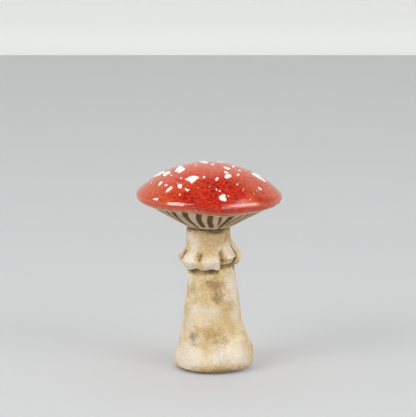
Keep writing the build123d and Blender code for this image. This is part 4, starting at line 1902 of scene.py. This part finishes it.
@dataclass
class Dabs:
    """The white glaze dabbed and flicked on the cap."""

    layout: Layout
    cap: Cap
    big: tuple[Dab, ...] = (
        NOTCHED,
        LEAF,
        WEDGE,
        Dab(33.5, -149, (
            (1.2, 0.8), (0.5, 0.7), (-0.4, 0.6), (-1.4, -0.1), (-1.3, -0.7), (-0.4, -0.8),
            (0.5, -0.6), (1.3, 0.1),
        )),
        SLIVER,
        SQUARE,
        ROUND.again(3.6, 148, 35, 1.25),
        STREAK,
        ROUND,
        DROP,
        Dab(22.1, -43, (
            (0.7, -1.2), (0.6, -0.4), (0.3, 0.7), (-0.5, 1.1), (-0.9, 0.6), (-0.1, -0.8),
        )),
        SPLASH,
        Dab(36.0, -34, (
            (-0.4, -0.5), (0.3, -0.5), (0.9, -0.1), (0.9, 0.5), (0.0, 0.5), (-0.7, 0.3),
            (-1.1, -0.2),
        )),
        BITTEN,
        NOTCHED.again(19.0, 74, 160, 0.8),
        WEDGE.again(27.8, 118, 60),
        LEAF.again(32.5, 58, 150),
        LEAF.again(29.0, 175, 90, 1.2),
        SQUARE.again(34.5, 88, 20),
    )  # fmt: skip
    small: tuple[Dab, ...] = (
        Dab(33.6, -139, (
            (0.6, -0.2), (0.6, 0.4), (0.1, 0.9), (-0.7, 0.5), (-0.6, -0.1), (-0.3, -0.8),
            (0.3, -0.7),
        ), 0.4),
        HOOK,
        PEA.again(38.7, -117, 20, 0.8),
        Dab(52.2, -137, (
            (0.5, -1.4), (0.5, -0.2), (0.7, 0.9), (0.2, 1.4), (-0.4, 1.8), (-0.7, 1.2),
            (-0.8, -0.2), (-0.2, -1.4), (0.3, -2.0),
        ), 0.3),
        PEA.again(25.7, -129, 80, 0.85),
        PEA,
        Dab(5.0, -71, (
            (0.4, -0.8), (0.8, -0.3), (0.6, 0.6), (-0.4, 1.0), (-1.0, 0.2), (-0.4, -0.7),
        ), 0.35),
        PEA.again(8.9, -152, 40, 0.8),
        PEA.again(25.3, -150, 60, 0.8),
        Dab(18.2, -59, (
            (0.2, -0.8), (0.7, -0.3), (1.1, 0.4), (0.7, 0.8), (-0.7, 0.6), (-1.3, 0.1),
            (-0.7, -0.8),
        ), 0.4),
        DROP.again(18.6, -24, 75, 0.62),
        PEA.again(30.1, -58, 10, 0.8),
        PEA.again(38.6, -73, 0, 0.55),
        PEA.again(33.4, -83, 0, 0.75),
        PEA.again(34.6, -80, 50, 0.7),
        DROP.again(13.8, -12, 110, 0.8),
    )  # fmt: skip
    faint: tuple[Point, ...] = (
        (31.0, -90, 0.45), (32.4, -102, 0.38), (30.0, -128, 0.4), (29.5, -135, 0.35),
        (32.3, -166, 0.25), (16.4, -24, 0.35), (27.0, -35, 0.32), (35.2, -56, 0.35),
        (38.4, -46, 0.38), (36.7, -40, 0.32), (37.0, -16, 0.22), (11.4, -76, 0.4),
        (19.3, -99, 0.25), (42.0, -54, 0.45), (19.2, -88, 0.2),
    )  # fmt: skip
    flecks: int = 40
    flicked_behind: float = 0.8
    smallest: float = 0.16
    size_spread: float = 0.5
    root: float = 0.25
    wall: float = 0.7
    rounding: tuple[Place, ...] = ((0.07, 0.26), (0.12, 0.1))
    jagged_from: float = 1.0
    laid_from: float = 2.0
    laid_to: float = 6.0

    def build(self) -> list[Piece]:
        """Dab, flick and dress the white glaze.

        Returns:
            The big dabs and the flecks.
        """
        skin = self._crown_skin()
        material = WhiteGlaze().make()
        pieces = []
        for name, node, dabs in (
            ("glaze_dabs_white", "glaze_dabs", self.big),
            ("glaze_flecks_white", "glaze_flecks", (*self.small, *self._flicked())),
        ):
            raised = [self._raise(dab, skin, f"{name}_{number}") for number, dab in enumerate(dabs)]
            piece = Bench.join(raised, name)
            Bench.seat(piece, self.layout.cap_place())
            Bench.finish(piece, material, 80)
            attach(piece, "root")
            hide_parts(node)
            pieces.append(piece)
        bpy.data.objects.remove(skin)
        return pieces

    def _crown_skin(self) -> Piece:
        """A bare crown and rim that the dabs are laid on, which is thrown away afterwards."""
        radius, low, slope = self.cap.crown()
        rim_middle = (self.cap.rim_radius - self.cap.rim_round, self.cap.rim_height)
        profile = arc((0, low), radius, 90, 90 - slope, 48)
        profile += arc(rim_middle, self.cap.rim_round, 90 - slope, -60, 20)[1:]
        profile.append((0, self.cap.lip_height))
        return Bench.throw("crown_skin", profile, 240)

    def _flicked(self) -> list[Dab]:
        """Small flecks flicked off the brush, the faint ones of the front first."""
        dice = random.Random(5)
        flecks = [PEA.again(tip, place, place * 3, size) for tip, place, size in self.faint]
        for _ in range(self.flecks):
            tip = math.degrees(math.asin(math.sqrt(dice.uniform(0.01, 0.42))))
            behind = dice.random() < self.flicked_behind
            place = dice.uniform(-8, 188) if behind else dice.uniform(-180, 180)
            size = self.smallest + self.size_spread * dice.random() ** 3
            flecks.append(PEA.again(tip, place, dice.uniform(0, 360), size))
        return flecks

    def _raise(self, dab: Dab, skin: Piece, name: str) -> Piece:
        """Raise one dab on the crown.

        Args:
            dab: The dab.
            skin: The crown that it lies on.
            name: Its name.

        Returns:
            The dab, closed all round.
        """
        radius, low, slope = self.cap.crown()
        out = 0.0
        if dab.tip > slope:
            radius, low = self.cap.rim_round, self.cap.rim_height
            out = self.cap.rim_radius - radius
        place = (
            Matrix.Rotation(math.radians(dab.place), 4, "Z")
            @ Matrix.Translation((out * MM, 0, low * MM))
            @ Matrix.Rotation(math.radians(dab.tip), 4, "Y")
            @ Matrix.Translation((0, 0, radius * MM))
        )
        size = dab.size()
        thick = min(dab.thick, 0.4 * size)
        outline = dab.torn(int(dab.place * 10)) if size > self.jagged_from else dab.outline
        piece = Bench.trace(name, outline)
        Bench.edit(piece, "FACE")
        bpy.ops.mesh.select_all(action="SELECT")
        for height in (self.root, thick * self.wall):
            Bench.extrude((0, 0, height * MM))
        for inwards, upwards in self.rounding:
            bpy.ops.mesh.inset(thickness=size * inwards * MM, use_even_offset=False)
            bpy.ops.transform.translate(value=(0, 0, thick * upwards * MM))
        bpy.ops.mesh.poke()
        bpy.ops.mesh.select_all(action="SELECT")
        bpy.ops.transform.translate(value=(0, 0, -self.root * MM))
        Bench.mend()
        Bench.close()
        Bench.divide(piece, 1)
        Bench.seat(piece, place)
        self._bend(piece, skin, place)
        return piece

    def _bend(self, piece: Piece, skin: Piece, place: Matrix) -> None:
        """Bend a flat dab to the crown under it."""
        points = Bench.points(piece)
        back = place.inverted()
        up = (place.to_3x3() @ Vector((0, 0, 1))).normalized()
        depth = (self.laid_from + self.laid_to) * MM
        for index, point in enumerate(points):
            local = back @ Vector(point)
            start = Vector(point) + up * (self.laid_from * MM - local.z)
            hit, spot, _, _ = skin.ray_cast(start, -up, distance=depth)
            if hit:
                points[index] = spot + up * local.z
        Bench.place_points(piece, points)


class Use(Enum):
    """What a lamp is there for."""

    FORM = "form"
    SHINE = "shine"


@dataclass(frozen=True)
class SoftBox:
    """A soft lamp.

    Attributes:
        name: Its name.
        use: Whether it shapes the clay or shines in the glaze.
        azimuth: Where it stands, in degrees to the right of the camera.
        height: How high it stands, in degrees.
        distance: How far off it is, in metres.
        size: Its width and height, in metres.
        power: Its power in watts.
        colour: Its colour.
    """

    name: str
    use: Use
    azimuth: float
    height: float
    distance: float
    size: Place
    power: float
    colour: Colour = (1.0, 1.0, 1.0)


@dataclass
class Studio:
    """The floor, the backdrop, the lamps and the camera."""

    floor_colour: Colour = linear(192, 193, 194)
    wall_colour: Colour = linear(228, 230, 226)
    table_end: float = 1.06
    cove: float = 0.03
    cove_steps: int = 8
    half_width: float = 1.6
    wall_height: float = 1.2
    even_light: float = 0.56
    lifted: float = 0.3
    camera_place: Point = (-2.1, -970.0, 260.0)
    camera_aim: Point = (-2.1, 0.0, 70.0)
    focal_pixels: float = 2296.0
    frame_height: float = 417.0
    sensor: float = 36.0
    lamps: tuple[SoftBox, ...] = (
        SoftBox("lamp_left", Use.FORM, -52, 36, 1.1, (0.6, 0.4), 4.2, (1.0, 0.99, 0.96)),
        SoftBox("lamp_right", Use.FORM, 52, 32, 1.1, (0.6, 0.4), 2.9, (0.99, 0.98, 0.98)),
        SoftBox("lamp_over", Use.FORM, 170, 76, 1.2, (0.9, 0.9), 1.6),
        SoftBox("window_left", Use.SHINE, -54, 24, 1.1, (0.6, 1.3), 34.0),
        SoftBox("window_right", Use.SHINE, 62, 34, 1.1, (0.85, 0.5), 10.0),
        SoftBox("window_wide", Use.SHINE, 66, 34, 1.15, (1.1, 1.4), 18.0),
        SoftBox("window_front", Use.SHINE, 26, 12, 1.1, (0.5, 0.24), 4.0),
    )

    def build(self) -> None:
        """Set the studio up."""
        self._floor()
        self._light()
        self._world()
        self._camera()
        bpy.context.scene.view_settings.view_transform = "Standard"

    def _floor(self) -> None:
        """Lay the floor and sweep it up into the backdrop."""
        Bench.clear()
        bpy.ops.mesh.primitive_plane_add(size=2 * self.half_width)
        floor = Bench.started("stage_floor")
        Bench.edit(floor, "EDGE")
        bpy.ops.mesh.select_all(action="SELECT")
        bpy.ops.transform.translate(value=(0, self.table_end - self.half_width, 0))
        Bench.close()
        points = Bench.points(floor)
        Bench.pick(floor, points[:, 1] > self.table_end - self.cove)
        bpy.ops.mesh.select_mode(type="EDGE")
        for step in range(self.cove_steps):
            low, high = (math.radians(90 * part / self.cove_steps) for part in (step, step + 1))
            back, up = math.sin(high) - math.sin(low), math.cos(low) - math.cos(high)
            Bench.extrude((0, self.cove * back, self.cove * up))
        Bench.extrude((0, 0, self.wall_height))
        Bench.mend()
        Bench.close()
        Bench.hold(floor)
        bpy.ops.object.shade_smooth()
        for finish in (
            Plain("stage_floor", self.floor_colour, 0.03, self.lifted),
            Plain("stage_wall", self.wall_colour, 0.0, self.lifted),
        ):
            floor.data.materials.append(finish.make())
        for face in floor.data.polygons:
            if face.center.z > self.cove * 0.02:
                face.material_index = 1

    def _light(self) -> None:
        """Hang the lamps."""
        target = Vector((0, 0, 60)) * MM
        for lamp in self.lamps:
            azimuth, height = math.radians(lamp.azimuth), math.radians(lamp.height)
            level = math.cos(height)
            towards = Vector(
                (math.sin(azimuth) * level, -math.cos(azimuth) * level, math.sin(height))
            )
            Bench.clear()
            bpy.ops.object.light_add(type="AREA", location=target + towards * lamp.distance)
            light = bpy.context.active_object
            light.name = lamp.name
            light.rotation_euler = towards.to_track_quat("Z", "Y").to_euler()
            light.data.shape = "RECTANGLE"
            light.data.size, light.data.size_y = lamp.size
            light.data.energy = lamp.power
            light.data.color = lamp.colour
            light.visible_camera = False
            light.visible_diffuse = lamp.use is Use.FORM
            light.visible_glossy = lamp.use is Use.SHINE

    def _world(self) -> None:
        """Fill the room with even light; a gloss sees it dim in front and bright behind."""
        world = bpy.data.worlds.new("room")
        bpy.context.scene.world = world
        world.use_nodes = True
        tree = Tree(world.node_tree)
        background = world.node_tree.nodes["Background"]
        towards = tree.add("TexCoord").outputs["Generated"]
        parts = tree.fill(tree.add("SeparateXYZ"), Vector=towards)
        behind = tree.remap(parts.outputs["Y"], 0.35, 0.9, 0.14, 1.25)
        path = tree.add("LightPath")
        even = (self.even_light,) * 3
        gloss = tree.mix(behind, (0.0, 0.0, 0.0), (1.0, 1.0, 1.0))
        seen = tree.mix(path.outputs["Is Glossy Ray"], even, gloss)
        seen = tree.mix(path.outputs["Is Camera Ray"], seen, self.wall_colour)
        tree.fill(background, Color=seen, Strength=1.0)

    def _camera(self) -> None:
        """Stand the camera where the photograph was taken from."""
        place, aim = (Vector(point) * MM for point in (self.camera_place, self.camera_aim))
        Bench.clear()
        bpy.ops.object.camera_add(location=place)
        camera = bpy.context.active_object
        camera.name = "camera"
        camera.rotation_euler = (place - aim).to_track_quat("Z", "Y").to_euler()
        camera.data.sensor_width = self.sensor
        camera.data.lens = self.focal_pixels * self.sensor / self.frame_height
        camera.data.clip_start, camera.data.clip_end = 0.01, 20.0
        bpy.context.scene.camera = camera


def main() -> None:
    """Build the ornament piece by piece and report each one."""
    logging.basicConfig(level=logging.INFO, format="%(name)s: %(message)s")
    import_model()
    layout = Layout()
    cap = Cap(layout)
    pieces = [
        FootPad().build(),
        Stem(layout).build(),
        NeckSlip(layout).build(),
        Skirt(layout).build(),
        GillDish(layout).build(),
        cap.build(),
        *Dabs(layout, cap).build(),
    ]
    for piece in pieces:
        LOG.info("%s: %d faces", piece.name, len(piece.data.polygons))
    Studio().build()
    Bench.clear()


if __name__ == "__main__":
    main()
